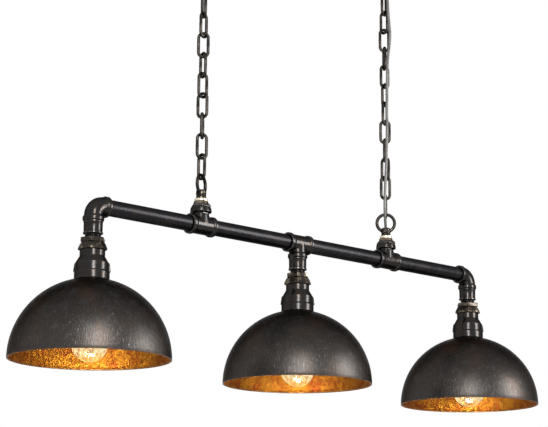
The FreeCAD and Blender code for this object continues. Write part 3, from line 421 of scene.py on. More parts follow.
def cast_iron(graph, tone, stain, bright, speckle, gloss, worn=0.0, edges=0.75):
    """Sand-cast fittings: pitted, brown in the hollows, rubbed bright on the edges."""
    here = graph.place()
    sand = graph.noise(here, 420.0, 4.0, 0.6)
    lump = graph.noise(here, 120.0, 5.0, 0.6, 0.4)
    pit = graph.between(graph.cells(here, 300.0), 0.10, 0.32, 1.0, 0.0)
    rubbed = graph.wear(0.505, 0.56) * graph.between(lump, 0.34, 0.58)
    base = graph.mixed(graph.between(lump, 0.46, 0.64), tone, stain)
    base = graph.mixed(graph.between(sand, 0.58, 0.74) * speckle, base, bright)
    # Patches in the bright colour, used on the unions only; there they are wear and also painted
    # highlight standing in for lit facets.
    patch = graph.noise(here, 78.0, 3.0, 0.55)
    base = graph.mixed(graph.between(patch, 0.50, 0.60) * worn, base, bright)
    base = graph.mixed(rubbed * edges, base, bright)
    rough = gloss + (sand - 0.5) * 0.24 + pit * 0.08 - rubbed * 0.05
    height = sand * 0.25 + lump * 0.8 - pit * 0.15
    return metal(base, rough, graph.bump(height, 0.20, 0.0009), edge=(0.38, 0.38, 0.38))


def chain_iron(graph, settings):
    """Dark oiled wire, rubbed brighter in flecks."""
    here = graph.place()
    grain = graph.noise(here, 480.0, 4.0, 0.6)
    lump = graph.noise(here, 110.0, 4.0, 0.6)
    base = graph.mixed(graph.between(lump, 0.44, 0.66), settings.iron, (0.050, 0.042, 0.034))
    base = graph.mixed(graph.between(grain, 0.56, 0.72) * 0.4, base, (0.15, 0.14, 0.125))
    rough = 0.30 + (grain - 0.5) * 0.3
    normal = graph.bump(grain * 0.4 + lump, 0.35, 0.0006)
    return metal(base, rough, normal, edge=(0.35, 0.35, 0.35))


def loop_brass(graph, settings):
    """Cast brass under a dark patina that is worn off the collars."""
    here = graph.place()
    z = graph.parts(here)[2]
    lump = graph.noise(here, 190.0, 4.0, 0.62)
    grain = graph.noise(here, 600.0, 3.0, 0.6)
    low_collar = graph.between(z, LOWER_SEAT + 0.012, LOWER_SEAT + 0.018, 1.0, 0.0)
    high_collar = graph.between(z, UPPER_SEAT - 0.018, UPPER_SEAT - 0.012)
    bare = graph.between(lump + low_collar.largest(high_collar) * 0.05, 0.61, 0.73)
    base = graph.mixed(bare * 0.85, settings.patina, settings.brass)
    rough = 0.36 + (grain - 0.5) * 0.3
    normal = graph.bump(lump + grain * 0.4, 0.4, 0.0007)
    return metal(base, rough, normal, edge=(0.15, 0.14, 0.12))


def plain_metal(graph, bright, dull, rough, edge=1.0, scale=160.0, metallic=1.0):
    """Plain turned or pressed metal, dulled in patches."""
    here = graph.place()
    tarnish = graph.noise(here, scale, 4.0, 0.6)
    grain = graph.noise(here, scale * 5, 3.0, 0.6)
    base = graph.mixed(graph.between(tarnish, 0.42, 0.68), bright, dull)
    normal = graph.bump(grain + tarnish, 0.25, 0.0003)
    return metal(base, rough + (grain - 0.5) * 0.25, normal, metallic, (edge, edge, edge))


def moulded(graph, tint, rough, scale=300.0):
    """Moulded or extruded plastic with a faint grain."""
    here = graph.place()
    grain = graph.noise(here, scale, 4.0, 0.55)
    cloud = graph.noise(here, scale / 9, 3.0, 0.5)
    dark = tuple(c * 0.55 for c in tint)
    base = graph.mixed(graph.between(cloud, 0.35, 0.7), tint, dark)
    return {"Base Color": base, "Roughness": rough + (grain - 0.5) * 0.22,
            "Normal": graph.bump(grain, 0.22, 0.0003)}


def bulb_glass(graph):
    """Clear glass, warm with the filament's light and streaked by its reflections."""
    across, y, z, number = lamp_place(graph)
    here = graph.vector(across + number * 1.3, y, z)
    slanted = graph.mapped(here, (0.2, 0.3, 0.0), (1.0, 1.0, 0.6))
    streaks = graph.noise(slanted, 105.0, 4.0, 0.65, 1.8)
    high = graph.between(z, BULB_FOOT + 0.003, BULB_FOOT + 0.019)
    tint = graph.mixed(graph.between(streaks, 0.36, 0.58), (0.66, 0.34, 0.05), (1.0, 0.76, 0.26))
    tint = graph.mixed(high * 0.8, tint, (1.0, 0.96, 0.66))
    return {
        "Base Color": (0.05, 0.04, 0.03),
        "Roughness": 0.05,
        "Alpha": 0.03 + graph.between(streaks, 0.42, 0.62) * (0.14 + high * 0.26),
        "Emission Color": tint,
        "Emission Strength": 0.82,
        "Normal": graph.bump(streaks, 0.12, 0.0008),
    }


def filament_glow(graph, settings):
    """The lit wire."""
    heat = graph.noise(graph.place(), 180.0, 2.0, 0.5)
    tint = graph.mixed(graph.between(heat, 0.3, 0.7), (1.0, 0.80, 0.45), (1.0, 0.62, 0.24))
    return {"Base Color": (0.2, 0.16, 0.12), "Roughness": 0.5,
            "Emission Color": tint, "Emission Strength": settings.filament}


FINISHES = {}


def make_finishes(scene):
    """Every material, by the record's slot that it stands for. A row gives the material's
    name, its function and what that function takes after the graph, in its order."""
    shade, iron, chain = scene.pendant_shade, scene.pendant_iron, scene.pendant_chain
    # The union's cream colour and its large share of patches are partly wear and partly painted
    # highlight on its facets.
    union = (0.034, 0.028, 0.024), (0.016, 0.013, 0.011), (0.34, 0.285, 0.21)
    # The boss's tan colours are painted highlight for the lit band just under the nut.
    boss = (0.22, 0.175, 0.13), (0.06, 0.048, 0.04)
    thread = (0.62, 0.45, 0.20), (0.30, 0.20, 0.09)
    plating = (0.80, 0.71, 0.56), (0.50, 0.43, 0.33)
    steel = (0.62, 0.62, 0.63), (0.36, 0.36, 0.37)
    canopy = (0.034, 0.029, 0.027), (0.018, 0.016, 0.015)
    contact = (0.70, 0.52, 0.26), (0.44, 0.31, 0.14)
    cap = (0.72, 0.70, 0.66), (0.48, 0.46, 0.42)
    rows = {
        "shade_bronze": ("brushed_bronze", brushed_bronze, shade),
        "leaf": ("leaf_gold", leaf_gold, shade),
        "rim": ("rim_copper", rim_copper),
        "pipe_black": ("black_pipe", black_pipe, iron),
        "iron_fitting": ("cast_iron", cast_iron, iron.cast, iron.rust, iron.bare, 0.16, 0.21),
        "worn_boss": ("worn_boss", plain_metal, *boss, 0.36, 0.05),
        "union_iron": ("union_iron", cast_iron, *union, 0.22, 0.25, 0.42, 0.10),
        "chain_iron": ("chain_iron", chain_iron, chain),
        "loop_brass": ("loop_brass", loop_brass, chain),
        "brass_thread": ("brass_thread", plain_metal, *thread, 0.34),
        "plated_nut": ("plated_nut", plain_metal, *plating, 0.36, 0.05),
        "strap_steel": ("strap_steel", plain_metal, *steel, 0.36, 1.0, 70.0),
        "canopy_black": ("canopy_bronze", plain_metal, *canopy, 0.40, 1.0, 45.0, 0.9),
        "cord_jacket": ("cord_jacket", moulded, scene.pendant_cord.jacket, 0.38, 700.0),
        "wire_jacket": ("wire_jacket", moulded, (0.07, 0.07, 0.072), 0.42, 700.0),
        "connector_plastic": ("connector_plastic", moulded, (0.42, 0.40, 0.36), 0.45),
        "lampholder_black": ("lampholder_phenolic", moulded, (0.030, 0.024, 0.020), 0.24, 420.0),
        "contact_metal": ("contact_brass", plain_metal, *contact, 0.30),
        "bulb_cap": ("bulb_cap", plain_metal, *cap, 0.28),
        "bulb_glass": ("bulb_glass", bulb_glass),
        "filament": ("filament_glow", filament_glow, scene.pendant_bulb),
    }
    FINISHES.update({slot: finish(*row) for slot, row in rows.items()})


# Modelling


def alone(piece=None):
    """Leaves one piece selected and active, or none."""
    bpy.ops.object.select_all(action="DESELECT")
    if piece:
        piece.select_set(True)
        bpy.context.view_layer.objects.active = piece


def applied(piece):
    """Moves a piece's place, turn and size into its mesh."""
    alone(piece)
    bpy.ops.object.transform_apply(location=True, rotation=True, scale=True)
    return piece


def opened(piece, name=None):
    """Opens one piece in edit mode with all of it selected, and may name it first."""
    alone(piece)
    if name:
        piece.name = piece.data.name = name
    bpy.ops.object.mode_set(mode="EDIT")
    bpy.ops.mesh.select_all(action="SELECT")
    return piece


def closed():
    """Leaves edit mode."""
    bpy.ops.object.mode_set(mode="OBJECT")


def placed(name, mesh):
    """A new piece of the scene with a mesh."""
    piece = bpy.data.objects.new(name, mesh)
    bpy.context.scene.collection.objects.link(piece)
    return piece


def pick(piece, kind, test):
    """In edit mode, selects only the vertices or edges whose middle passes a test."""
    bpy.ops.mesh.select_mode(type={"verts": "VERT", "edges": "EDGE"}[kind])
    bpy.ops.mesh.select_all(action="DESELECT")
    mesh = bmesh.from_edit_mesh(piece.data)
    for item in getattr(mesh, kind):
        spots = [item.co] if kind == "verts" else [v.co for v in item.verts]
        item.select_set(bool(test(sum(spots, Vector()) / len(spots))))
    mesh.select_flush_mode()
    bmesh.update_edit_mesh(piece.data)


def modify(piece, kind, **settings):
    """Adds a modifier with its settings and applies it."""
    alone(piece)
    bpy.ops.object.modifier_add(type=kind)
    modifier = piece.modifiers[-1]
    for setting, value in settings.items():
        setattr(modifier, setting, value)
    bpy.ops.object.modifier_apply(modifier=modifier.name)
    return piece


def eased(piece, width, segments, angle):
    """Rounds off a piece's sharp edges. The width is in millimetres."""
    return modify(piece, "BEVEL", width=width * MM, segments=segments,
                  limit_method="ANGLE", angle_limit=math.radians(angle))


def coated(piece, *slots):
    """Gives a piece its materials."""
    piece.data.materials.clear()
    for slot in slots:
        piece.data.materials.append(FINISHES[slot])
    return piece


def cast(piece, voxel, rounds):
    """Turns a piece's skin into an even casting with soft corners."""
    modify(piece, "REMESH", mode="VOXEL", voxel_size=voxel)
    return modify(piece, "SMOOTH", factor=0.5, iterations=rounds)


def turned(name, outline, steps=64):
    """A closed piece turned about Z: a point is drawn out along an outline of radii and
    heights in millimetres, the outline is closed, and it is spun round."""
    alone()
    bpy.ops.mesh.primitive_plane_add(size=MM)
    piece = opened(bpy.context.object, name)
    spots = [Vector((r * MM, 0, z * MM)) for r, z in outline]
    bpy.ops.mesh.merge(type="CENTER")
    bpy.ops.transform.translate(value=spots[0])
    for before, after in zip(spots, spots[1:]):
        bpy.ops.mesh.extrude_region_move(TRANSFORM_OT_translate={"value": after - before})
    ends = spots[0], spots[-1]
    pick(piece, "verts", lambda p: min((p - end).length for end in ends) < MM / 100)
    bpy.ops.mesh.edge_face_add()
    bpy.ops.mesh.select_all(action="SELECT")
    bpy.ops.mesh.spin(steps=steps, angle=2 * math.pi, center=(0, 0, 0), axis=(0, 0, 1))
    bpy.ops.mesh.select_all(action="SELECT")
    bpy.ops.mesh.remove_doubles(threshold=MM / 200)
    bpy.ops.mesh.normals_make_consistent(inside=False)
    closed()
    return piece


def torus(major, minor, steps, height=0.0, upright=True):
    """A ring of round wire, upright or flat. Its steps are counted along and round the wire."""
    alone()
    bpy.ops.mesh.primitive_torus_add(
        major_radius=major, minor_radius=minor, major_segments=steps[0],
        minor_segments=steps[1], location=(0, 0, height),
        rotation=(math.pi / 2 if upright else 0, 0, 0),
    )
    return applied(bpy.context.object)


def copied_node(node, name):
    """A merged copy of a CAD node's mesh, to be shaped further."""
    piece = opened(placed(name, frame["nodes"][node].data.copy()))
    bpy.ops.mesh.remove_doubles(threshold=MM / 200)
    closed()
    return piece


def joined(name, pieces):
    """Several pieces made one."""
    alone(pieces[0])
    for piece in pieces:
        piece.select_set(True)
    if len(pieces) > 1:
        bpy.ops.object.join()
    pieces[0].name = pieces[0].data.name = name
    return pieces[0]


def repeated(name, pattern, places):
    """One piece made of copies of a pattern, set at the given places. The pattern goes."""
    copies = []
    for place in places:
        copy = placed(name, pattern.data.copy())
        copy.data.transform(place)
        copies.append(copy)
    whole = joined(name, copies)
    bpy.data.objects.remove(pattern)
    return whole


def done(piece, node, *finishes, angle=35):
    """Finishes a piece that stands for a CAD node: its place in its mesh, its shading, its
    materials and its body."""
    applied(piece)
    if angle:
        bpy.ops.object.shade_smooth_by_angle(angle=math.radians(angle))
    else:
        bpy.ops.object.shade_smooth()
    if finishes:
        coated(piece, *finishes)
    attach(piece, BODIES[node])
    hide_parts(node)


def at(x, z, turn=0.0, flip=False):
    """The matrix of a place, with a turn about Z in degrees and perhaps upside down."""
    over = Matrix.Rotation(math.pi, 4, "X") if flip else Matrix.Identity(4)
    return Matrix.Translation((x, 0, z)) @ Matrix.Rotation(math.radians(turn), 4, "Z") @ over


class PieceOperator:
    bl_options = {"REGISTER", "UNDO"}


class PENDANT_OT_stage(PieceOperator, bpy.types.Operator):
    """Sets the floor, the soft lights, the background and the camera"""

    bl_idname = "pendant.stage"
    bl_label = "Stage"

    white = (1, 1, 1, 1)
    floor_radius, fade_start, fade_end = 7.0, 1.6, 6.6
    floor_white = 0.55
    light_distance = 2.2

    def execute(self, context):
        scene, settings = context.scene, context.scene.pendant_stage
        scene.view_settings.view_transform = "Standard"
        self.add_camera(scene, settings)
        self.add_world(scene, settings)
        self.add_floor(settings)
        self.add_light(settings, "key_light", turn=6, rise=14, size=(0.42, 1.20), radiance=26)
        self.add_light(settings, "side_light", turn=79, rise=9, size=(0.62, 1.05), radiance=21)
        return {"FINISHED"}

    def add_camera(self, scene, settings):
        alone()
        bpy.ops.object.camera_add(location=settings.camera_spot, rotation=settings.camera_turn)
        camera = bpy.context.object
        camera.data.lens = settings.lens
        scene.camera = camera

    def add_world(self, scene, settings):
        """White to the camera, in reflections and through glass, and a soft fill elsewhere."""
        scene.world = bpy.data.worlds.new("studio")
        scene.world.use_nodes = True
        graph = Graph(scene.world.node_tree)
        strength = self.seen(graph) * (1 - settings.fill) + settings.fill
        values = {"Color": self.white, "Strength": strength}
        light = graph.node("ShaderNodeBackground", values=values)
        graph.node("ShaderNodeOutputWorld", values={"Surface": light})

    def seen(self, graph):
        """1 for a ray from the camera, a reflection or a view through glass."""
        path = graph.node("ShaderNodeLightPath").socket.node
        camera, glossy, through = [
            Signal(graph, path.outputs[f"Is {kind} Ray"])
            for kind in ("Camera", "Glossy", "Transmission")
        ]
        return camera.largest(glossy).largest(through)

    def add_floor(self, settings):
        """A pale round floor that fades into the background and is clear from below."""
        alone()
        bpy.ops.mesh.primitive_circle_add(
            vertices=96, radius=self.floor_radius, fill_type="NGON",
            location=(0, 0, -settings.floor),
        )
        floor = bpy.context.object
        floor.name = "floor"
        material = bpy.data.materials.new("pale_floor")
        material.use_nodes = True
        graph = Graph(material.node_tree)
        x, y = graph.parts(graph.place())[:2]
        dust = graph.noise(graph.place(), 6.0, 4.0)
        tint = graph.mixed(dust, (0.82, 0.82, 0.81), (0.86, 0.86, 0.85))
        plain = graph.node("ShaderNodeBsdfDiffuse", values={"Color": tint})
        values = {"Color": self.white, "Strength": 1.0}
        white = graph.node("ShaderNodeEmission", values=values)
        share = self.seen(graph) * self.floor_white
        mixed = graph.node("ShaderNodeMixShader", values={0: share, 1: plain, 2: white})
        clear = graph.node("ShaderNodeBsdfTransparent")
        fade = graph.between((x * x + y * y) ** 0.5, self.fade_start, self.fade_end)
        below = graph.node("ShaderNodeNewGeometry", output="Backfacing")
        share = fade.largest(below)
        whole = graph.node("ShaderNodeMixShader", values={0: share, 1: mixed, 2: clear})
        graph.node("ShaderNodeOutputMaterial", values={"Surface": whole})
        floor.data.materials.append(material)

    def add_light(self, settings, name, turn, rise, size, radiance):
        """A soft box, placed by its turn to the right of the camera and its rise in degrees."""
        heading = settings.camera_turn[2] + math.radians(turn - 90)
        rise = math.radians(rise)
        level = math.cos(rise)
        away = Vector((math.cos(heading) * level, math.sin(heading) * level, math.sin(rise)))
        spot = Vector((0, 0, PIPE)) + away * self.light_distance
        alone()
        bpy.ops.object.light_add(type="AREA", location=spot)
        light = bpy.context.object
        light.name = name
        light.rotation_euler = away.to_track_quat("Z", "Y").to_euler()
        light.data.shape = "RECTANGLE"
        light.data.size, light.data.size_y = size
        light.data.energy = radiance * math.pi * size[0] * size[1]
        light.visible_camera = False


class PENDANT_OT_carried(PieceOperator, bpy.types.Operator):
    """Gives every CAD node the material of its slot"""

    bl_idname = "pendant.carried"
    bl_label = "Frame finishes"

    def execute(self, context):
        make_finishes(context.scene)
        for name, node in frame["nodes"].items():
            node.data.materials.clear()
            node.data.materials.append(FINISHES[SLOTS[name]])
        return {"FINISHED"}


class PENDANT_OT_cord(PieceOperator, bpy.types.Operator):
    """Runs the supply cord beside the right-hand chain, cut into stretches at the levels of its
    links
    """

    bl_idname = "pendant.cord"
    bl_label = "Supply cord"

    bodies = ["ceiling", "right_top", "right_run", "right_bottom", "bar"]
    nodes = ["supply_cord_top", "supply_cord_upper", "supply_cord_lower", "supply_cord_end"]
    mouth_depth = 0.015
    turn_length = 0.05
    # How far the line starts above the upper mouth and ends below the lower one
    start_over, end_under = 0.006, 0.012

    def execute(self, context):
        settings = context.scene.pendant_cord
        line = self.cut_line(self.route_line())
        for number, (node, path) in enumerate(zip(self.nodes, line)):
            piece = self.tube(f"{node}_jacket", path, settings.diameter)
            piece.data.materials.append(FINISHES["cord_jacket"])
            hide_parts(node)
            above, below = self.bodies[number:number + 2]
            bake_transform(piece)
            spots = [point for point, _ in path]
            long = sum((b - a).length for a, b in zip(spots, spots[1:]))
        return {"FINISHED"}

    def route_line(self):
        """The smooth line that the route's points steer, as points in the frame."""
        x = HANGERS["right"]
        turn = math.radians(FACE_TURN)
        right = Vector((math.cos(turn), math.sin(turn), 0))
        front = Vector((math.sin(turn), -math.cos(turn), 0))
        self.mouth, self.low_mouth = UPPER_SEAT - self.mouth_depth, LOWER_SEAT + self.mouth_depth
        points = [Vector((x, 0, self.mouth + self.start_over))]
        routes = (UPPER_ROUTE, self.mouth, -1), (LOWER_ROUTE, self.low_mouth, 1)
        for route, base, sign in routes:
            for across, out, level in route:
                points.append(Vector((x, 0, base + sign * level)) + right * across + front * out)
        points.append(Vector((x, 0, self.low_mouth - self.end_under)))
        curve = bpy.data.curves.new("supply_route", "CURVE")
        curve.dimensions = "3D"
        spline = curve.splines.new("NURBS")
        spline.points.add(len(points) - 1)
        for knot, point in zip(spline.points, points):
            knot.co = (*point, 1)
        spline.order_u = 3
        spline.use_endpoint_u = True
        spline.resolution_u = 10
        route = bpy.data.objects.new("supply_route", curve)
        mesh = bpy.data.meshes.new_from_object(route)
        line = [vertex.co.copy() for vertex in mesh.vertices]
        bpy.data.meshes.remove(mesh)
        bpy.data.curves.remove(curve)
        return line

    def cut_line(self, line):
        """The line in four stretches, each a list of points with the frame's side there."""
        top, bottom = middle("right_top_link").z, middle("right_bottom_link").z
        self.levels = [top, (top + bottom) / 2, bottom]
        stretches, here, levels = [], [], list(self.levels)
        side = Vector((1, 0, 0))
        for before, after in zip(line, line[1:]):
            along = (after - before).normalized()
            side = (side - along * side.dot(along)).normalized()
            here.append((before, side))
            while levels and before.z > levels[0] >= after.z:
                share = (before.z - levels[0]) / (before.z - after.z)
                spot = before.lerp(after, share)
                here.append((spot, side))
                stretches.append(here)
                here = [(spot, side)]
                levels.pop(0)
        here.append((line[-1], side))
        stretches.append(here)
        return stretches

    def tube(self, name, path, diameter, sides=20):
        """A round tube along a path, its ends closed."""
        verts, faces = [], []
        spots = [point for point, _ in path]
        for number, (spot, side) in enumerate(path):
            before, after = spots[max(number - 1, 0)], spots[min(number + 1, len(spots) - 1)]
            other = (after - before).normalized().cross(side).normalized()
            for step in range(sides):
                angle = 2 * math.pi * step / sides
                out = side * math.cos(angle) + other * math.sin(angle)
                verts.append(spot + out * diameter / 2)
        for ring in range(len(path) - 1):
            for step in range(sides):
                near, far = ring * sides + step, ring * sides + (step + 1) % sides
                faces.append((near, near + sides, far + sides, far))
        faces.append(tuple(range(sides)))
        faces.append(tuple(reversed(range(len(verts) - sides, len(verts)))))
        mesh = bpy.data.meshes.new(name)
        mesh.from_pydata(verts, [], faces)
        piece = opened(placed(name, mesh))
        bpy.ops.mesh.normals_make_consistent(inside=False)
        closed()
        bpy.ops.object.shade_smooth_by_angle(angle=math.radians(50))
        return piece


class PENDANT_OT_shades(PieceOperator, bpy.types.Operator):
    """Spins the three half-round shades: bronze outside, gold leaf inside"""

    bl_idname = "pendant.shades"
    bl_label = "Shades"

    # The height of the cut over the sphere's middle, which leaves the rim just upright
    rim_cut = 0.00012

    def execute(self, context):
        settings = context.scene.pendant_shade
        radius, wall = settings.radius, settings.wall
        crown = math.sqrt(radius ** 2 - settings.hole ** 2)
        for side, x in LAMPS.items():
            alone()
            bpy.ops.mesh.primitive_uv_sphere_add(segments=128, ring_count=64, radius=radius)
            piece = opened(bpy.context.object, f"{side}_shade_spun")
            for level, cleared in ((self.rim_cut, "clear_inner"), (crown, "clear_outer")):
                bpy.ops.mesh.select_all(action="SELECT")
                cut = {"plane_co": (0, 0, level), "plane_no": (0, 0, 1), cleared: True}
                bpy.ops.mesh.bisect(**cut)
            closed()
            coated(piece, "shade_bronze", "leaf", "rim")
            modify(piece, "SOLIDIFY", thickness=wall, offset=-1, material_offset=1,
                   material_offset_rim=2, use_even_offset=True)
            eased(piece, 0.35, 2, 50)
            piece = joined(piece.name, [piece, self.bead(settings)])
            piece.data.transform(Matrix.Translation((x, 0, RIM)))
            done(piece, f"{side}_shade", angle=40)
        return {"FINISHED"}

    def bead(self, settings):
        """The rolled edge that stiffens the rim."""
        bead = settings.bead
        return coated(torus(settings.radius - bead, bead, (128, 12), bead, upright=False), "rim")


class PENDANT_OT_chains(PieceOperator, bpy.types.Operator):
    """Welds the oval links and hangs them in two chains"""

    bl_idname = "pendant.chains"
    bl_label = "Chains"

    # How far rings are cut from the middle of the weld and of the wire opposite, how much of
    # the weld swells, and by how much
    weld, opposite = 0.0011, 0.004
    swell_reach, swell = 0.0008, 1.13

    def execute(self, context):
        settings = context.scene.pendant_chain
        lowest = middle("left_bottom_link").z
        for side, turns in LINK_TURNS.items():
            places = []
            for number, turn in enumerate(turns):
                level = lowest + number * settings.pitch
                turn = FACE_TURN + turn + 180 * (number % 2)
                places.append(at(HANGERS[side], level, turn))
            parts = {"bottom_link": places[:1], "chain": places[1:-1], "top_link": places[-1:]}
            for kind, some in parts.items():
                node = f"{side}_{kind}"
                piece = repeated(f"{node}_welded", self.link(settings), some)
                done(piece, node, "chain_iron", angle=0)
        return {"FINISHED"}

    def link(self, settings):
        """One link: a ring drawn out into an oval, with a weld bead on one side."""
        bend = (settings.width - settings.wire) / 2
        straight = settings.inside - (settings.width - 2 * settings.wire)
        piece = opened(torus(bend, settings.wire / 2, (40, 16)), "link")
        for sign in (1, -1):
            pick(piece, "verts", lambda p: p.z * sign > MM / 10)
            bpy.ops.transform.translate(value=(0, 0, sign * straight / 2))

        def across(p, sign):
            return abs(p.z) < MM / 10 and p.x * sign > bend - settings.wire

        for sign, gap, segments in ((1, self.weld, 4), (-1, self.opposite, 1)):
            pick(piece, "edges", lambda p: across(p, sign))
            bpy.ops.mesh.bevel(offset=gap, segments=segments)
        pick(piece, "verts", lambda p: abs(p.z) < self.swell_reach and p.x > bend - settings.wire)
        bpy.ops.transform.resize(value=(self.swell, self.swell, 1), center_override=(bend, 0, 0))
        closed()
        return piece


class PENDANT_OT_loops(PieceOperator, bpy.types.Operator):
    """Casts the four loops: a ring grown out of a round collar"""

    bl_idname = "pendant.loops"
    bl_label = "Cast loops"

    ring_radius, ring_wire, ring_height = 16.4 * MM, 5.9 * MM, 24.5 * MM
    voxel = 0.00055

    def execute(self, context):
        for node, seat, turns, flip in (
            ("hanger_loops", LOWER_SEAT, HANGER_LOOP_TURN, False),
            ("canopy_loops", UPPER_SEAT, CANOPY_LOOP_TURN, True),
        ):
            places = [at(x, seat, FACE_TURN + turns[side], flip) for side, x in HANGERS.items()]
            piece = repeated(f"{node}_cast", self.loop(), places)
            done(piece, node, "loop_brass", angle=0)
        return {"FINISHED"}

    def loop(self):
        """A grooved collar and a ring, run together as one casting."""
        collar = turned("collar", [
            (5, 0), (8.2, 0), (8.7, 0.4), (8.7, 3.2), (7.9, 3.9), (7.9, 4.7), (8.7, 5.4),
            (8.7, 13.2), (7.9, 14.4), (6.6, 15.2), (5.2, 15.2), (3.7, 13.4), (3.7, 8.1), (5, 8.1),
        ])
        ring = torus(self.ring_radius, self.ring_wire / 2, (64, 20), self.ring_height)
        return cast(joined("loop", [collar, ring]), self.voxel, 3)


class PENDANT_OT_castings(PieceOperator, bpy.types.Operator):
    """Casts the elbows, the tees and the bell reducers with soft corners"""

    bl_idname = "pendant.castings"
    bl_label = "Cast fittings"

    # What is drawn in: from which radius on, between which levels, and to what share of it
    drawn_in = {
        "reducer": [(0.0276, COLLAR_FOOT, COLLAR_TOP, 0.935)],
        "hanger": [
            (0.0150, BRANCH_BAND - 0.002, BRANCH_BAND - 0.0003, 0.88),
            (0.0150, BRANCH_BAND - 0.0003, BRANCH_BAND + 0.0045, 1.06),
        ],
    }

    def execute(self, context):
        voxel = context.scene.pendant_iron.voxel
        nodes = ["left_elbow", "right_elbow", "centre_tee", "left_hanger_tee", "right_hanger_tee"]
        nodes += [f"{side}_reducer" for side in LAMPS]
        for node in nodes:
            piece = copied_node(node, f"{node}_cast")
            for kind, bands in self.drawn_in.items():
                for band in bands if kind in node else []:
                    self.draw_in(piece, *band)
            done(cast(piece, voxel, 6), node, "iron_fitting", angle=0)
        return {"FINISHED"}

    def draw_in(self, piece, reach, low, high, share):
        """Draws in the vertices that stand out beyond a reach from the piece's upright axis."""
        bounds = [Vector(corner) for corner in piece.bound_box]
        centre = (min(c.x for c in bounds) + max(c.x for c in bounds)) / 2
        opened(piece)
        pick(piece, "verts",
             lambda p: low < p.z < high and math.hypot(p.x - centre, p.y) > reach)
        bpy.ops.transform.resize(value=(share, share, 1), center_override=(centre, 0, 0))
        closed()


class PENDANT_OT_unions(PieceOperator, bpy.types.Operator):
    """Turns the couplings and cuts the hexes and the eight-sided rings of the pipe unions"""

    bl_idname = "pendant.unions"
    bl_label = "Couplings and unions"

    def execute(self, context):
        places = [at(x, FITTING_END) for x in LAMPS.values()]
        done(repeated("couplings_turned", self.coupling(), places), "couplings", "iron_fitting")
        places = [at(x, FITTING_END, HEX_TURN) for x in LAMPS.values()]
        piece = repeated("union_tailpieces_cut", self.tailpiece(), places)
        done(piece, "union_tailpieces", "union_iron")
        for side, x in LAMPS.items():
            node, place = f"{side}_union_ring", at(x, FITTING_END, FACE_TURN)
            done(repeated(f"{node}_cut", self.ring(), [place]), node, "union_iron")
        return {"FINISHED"}

    def coupling(self):
        """A socket with a rolled lip, and a threaded tail below it."""
        thread = []
        for turn in range(4):
            z = -21.7 - turn * 1.45
            thread += [(12.5, z), (13.0, z - 0.4), (13.0, z - 0.6), (12.4, z - 1.1)]
        piece = turned("coupling", [
            (10.0, -37.5), (12.5, -37.5), (12.5, -27.5)] + thread[::-1] + [
            (15.0, -21.5), (15.9, -21.0), (16.2, -20.2), (16.2, -18.6), (15.5, -17.8),
            (15.3, -17.0), (15.5, -2.6), (15.9, -1.8), (15.9, -0.6), (15.2, 0.0),
            (13.6, 0.0), (13.6, -12.5), (10.0, -12.5),
        ])
        return eased(piece, 0.25, 1, 40)

    def tailpiece(self):
        """A hex above a plain shank and flange."""
        hexagon = turned("hexagon", [
            (13.2, -35.4), (20.6, -35.4), (21.3, -34.8), (21.3, -28.6), (20.4, -27.6),
            (13.2, -27.6),
        ], 6)
        eased(hexagon, 0.7, 3, 25)
        shank = turned("shank", [
            (12.6, -35.3), (15.0, -35.3), (15.0, -39.6), (17.5, -39.6), (17.5, -43.4),
            (10.0, -43.4), (10.0, -38.2), (12.6, -38.2),
        ])
        return joined("tailpiece", [hexagon, shank])

    def ring(self):
        """An eight-sided nut whose facets slope in to its lip."""
        ring = turned("ring", [
            (15.6, -35.6), (19.4, -35.6), (20.2, -36.2), (23.6, -43.8), (23.7, -44.6),
            (23.7, -46.8), (22.9, -47.4), (20.9, -47.4), (20.9, -39.7), (15.6, -39.7),
        ], 8)
        return eased(ring, 0.5, 3, 20)


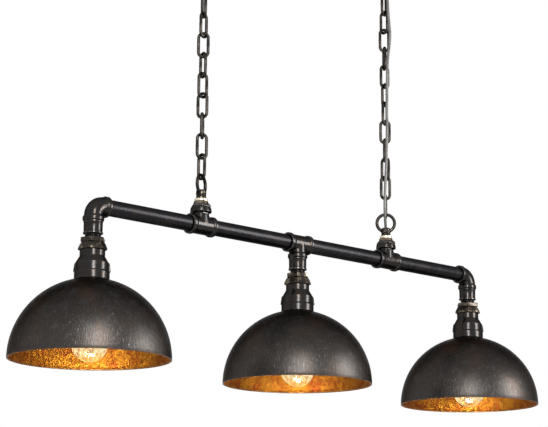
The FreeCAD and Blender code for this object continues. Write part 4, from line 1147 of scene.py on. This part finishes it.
class PENDANT_OT_hangers(PieceOperator, bpy.types.Operator):
    """Cuts the hex bushings and the round nuts"""

    bl_idname = "pendant.hangers"
    bl_label = "Bushings and nuts"

    def execute(self, context):
        places = [at(x, BUSHING_TOP) for x in HANGERS.values()]
        done(repeated("hanger_bushings_cut", self.bushing(), places), "hanger_bushings")
        for node in ("hanger_nuts", "canopy_nuts"):
            places = [at(x, foot(node)) for x in HANGERS.values()]
            done(repeated(f"{node}_cut", self.nut(), places), node, "plated_nut")
        return {"FINISHED"}

    def bushing(self):
        """A hex that flares from the nut down to the tee, and its plug."""
        hexagon = turned("hexagon", [
            (5.1, -21.9), (13.3, -21.9), (13.3, -10.0), (17.9, -10.0), (18.3, -9.6),
            (18.1, -8.6), (15.4, -4.4), (5.1, -4.4),
        ], 6)
        coated(eased(hexagon, 0.5, 3, 20), "iron_fitting")
        # The boss takes a tan finish that is painted highlight for the lit band under the nut.
        boss = turned("boss", [
            (5.1, -5.4), (13.5, -5.4), (12.2, -0.6), (11.8, -0.1), (5.1, -0.1),
        ])
        return joined("bushing", [hexagon, coated(boss, "worn_boss")])

    def nut(self):
        """A round nut with a rounded edge."""
        nut = turned("nut", [
            (5.1, 0.1), (10.6, 0.1), (11.2, 0.7), (11.0, 4.2), (10.3, 4.9), (5.1, 4.9),
        ])
        return eased(nut, 0.4, 3, 20)


class PENDANT_OT_bulbs(PieceOperator, bpy.types.Operator):
    """Lights the three bulbs"""

    bl_idname = "pendant.bulbs"
    bl_label = "Bulbs"

    glow_radius = 0.02

    def execute(self, context):
        settings = context.scene.pendant_bulb
        for side in LAMPS:
            alone()
            bpy.ops.object.light_add(type="POINT", location=middle(f"{side}_filament"))
            light = bpy.context.object
            light.name = f"{side}_glow"
            light.data.energy = settings.power
            light.data.color = settings.glow
            light.data.shadow_soft_size = self.glow_radius
            light.visible_camera = False
            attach(light, f"{side}_bulb")
        return {"FINISHED"}


OPERATORS = [
    PENDANT_OT_carried,
    PENDANT_OT_stage,
    PENDANT_OT_cord,
    PENDANT_OT_shades,
    PENDANT_OT_chains,
    PENDANT_OT_loops,
    PENDANT_OT_castings,
    PENDANT_OT_unions,
    PENDANT_OT_hangers,
    PENDANT_OT_bulbs,
]


class PENDANT_PT_pieces(bpy.types.Panel):
    """Lists the pieces of the pendant in the sidebar"""

    bl_idname = "PENDANT_PT_pieces"
    bl_label = "Bar pendant"
    bl_space_type = "VIEW_3D"
    bl_region_type = "UI"
    bl_category = "Pendant"

    def draw(self, context):
        for operator in OPERATORS:
            self.layout.operator(operator.bl_idname)
        for name, group in SETTINGS.items():
            box = self.layout.box()
            for setting in group.__annotations__:
                box.prop(getattr(context.scene, name), setting)


CLASSES = [*SETTINGS.values(), *OPERATORS, PENDANT_PT_pieces]


def register():
    for kind in CLASSES:
        bpy.utils.register_class(kind)
    for name, group in SETTINGS.items():
        setattr(bpy.types.Scene, name, bpy.props.PointerProperty(type=group))


def unregister():
    for name in SETTINGS:
        delattr(bpy.types.Scene, name)
    for kind in reversed(CLASSES):
        bpy.utils.unregister_class(kind)


def main():
    register()
    for operator in OPERATORS:
        getattr(bpy.ops.pendant, operator.bl_idname.split(".")[1])()


if __name__ == "__main__":
    main()
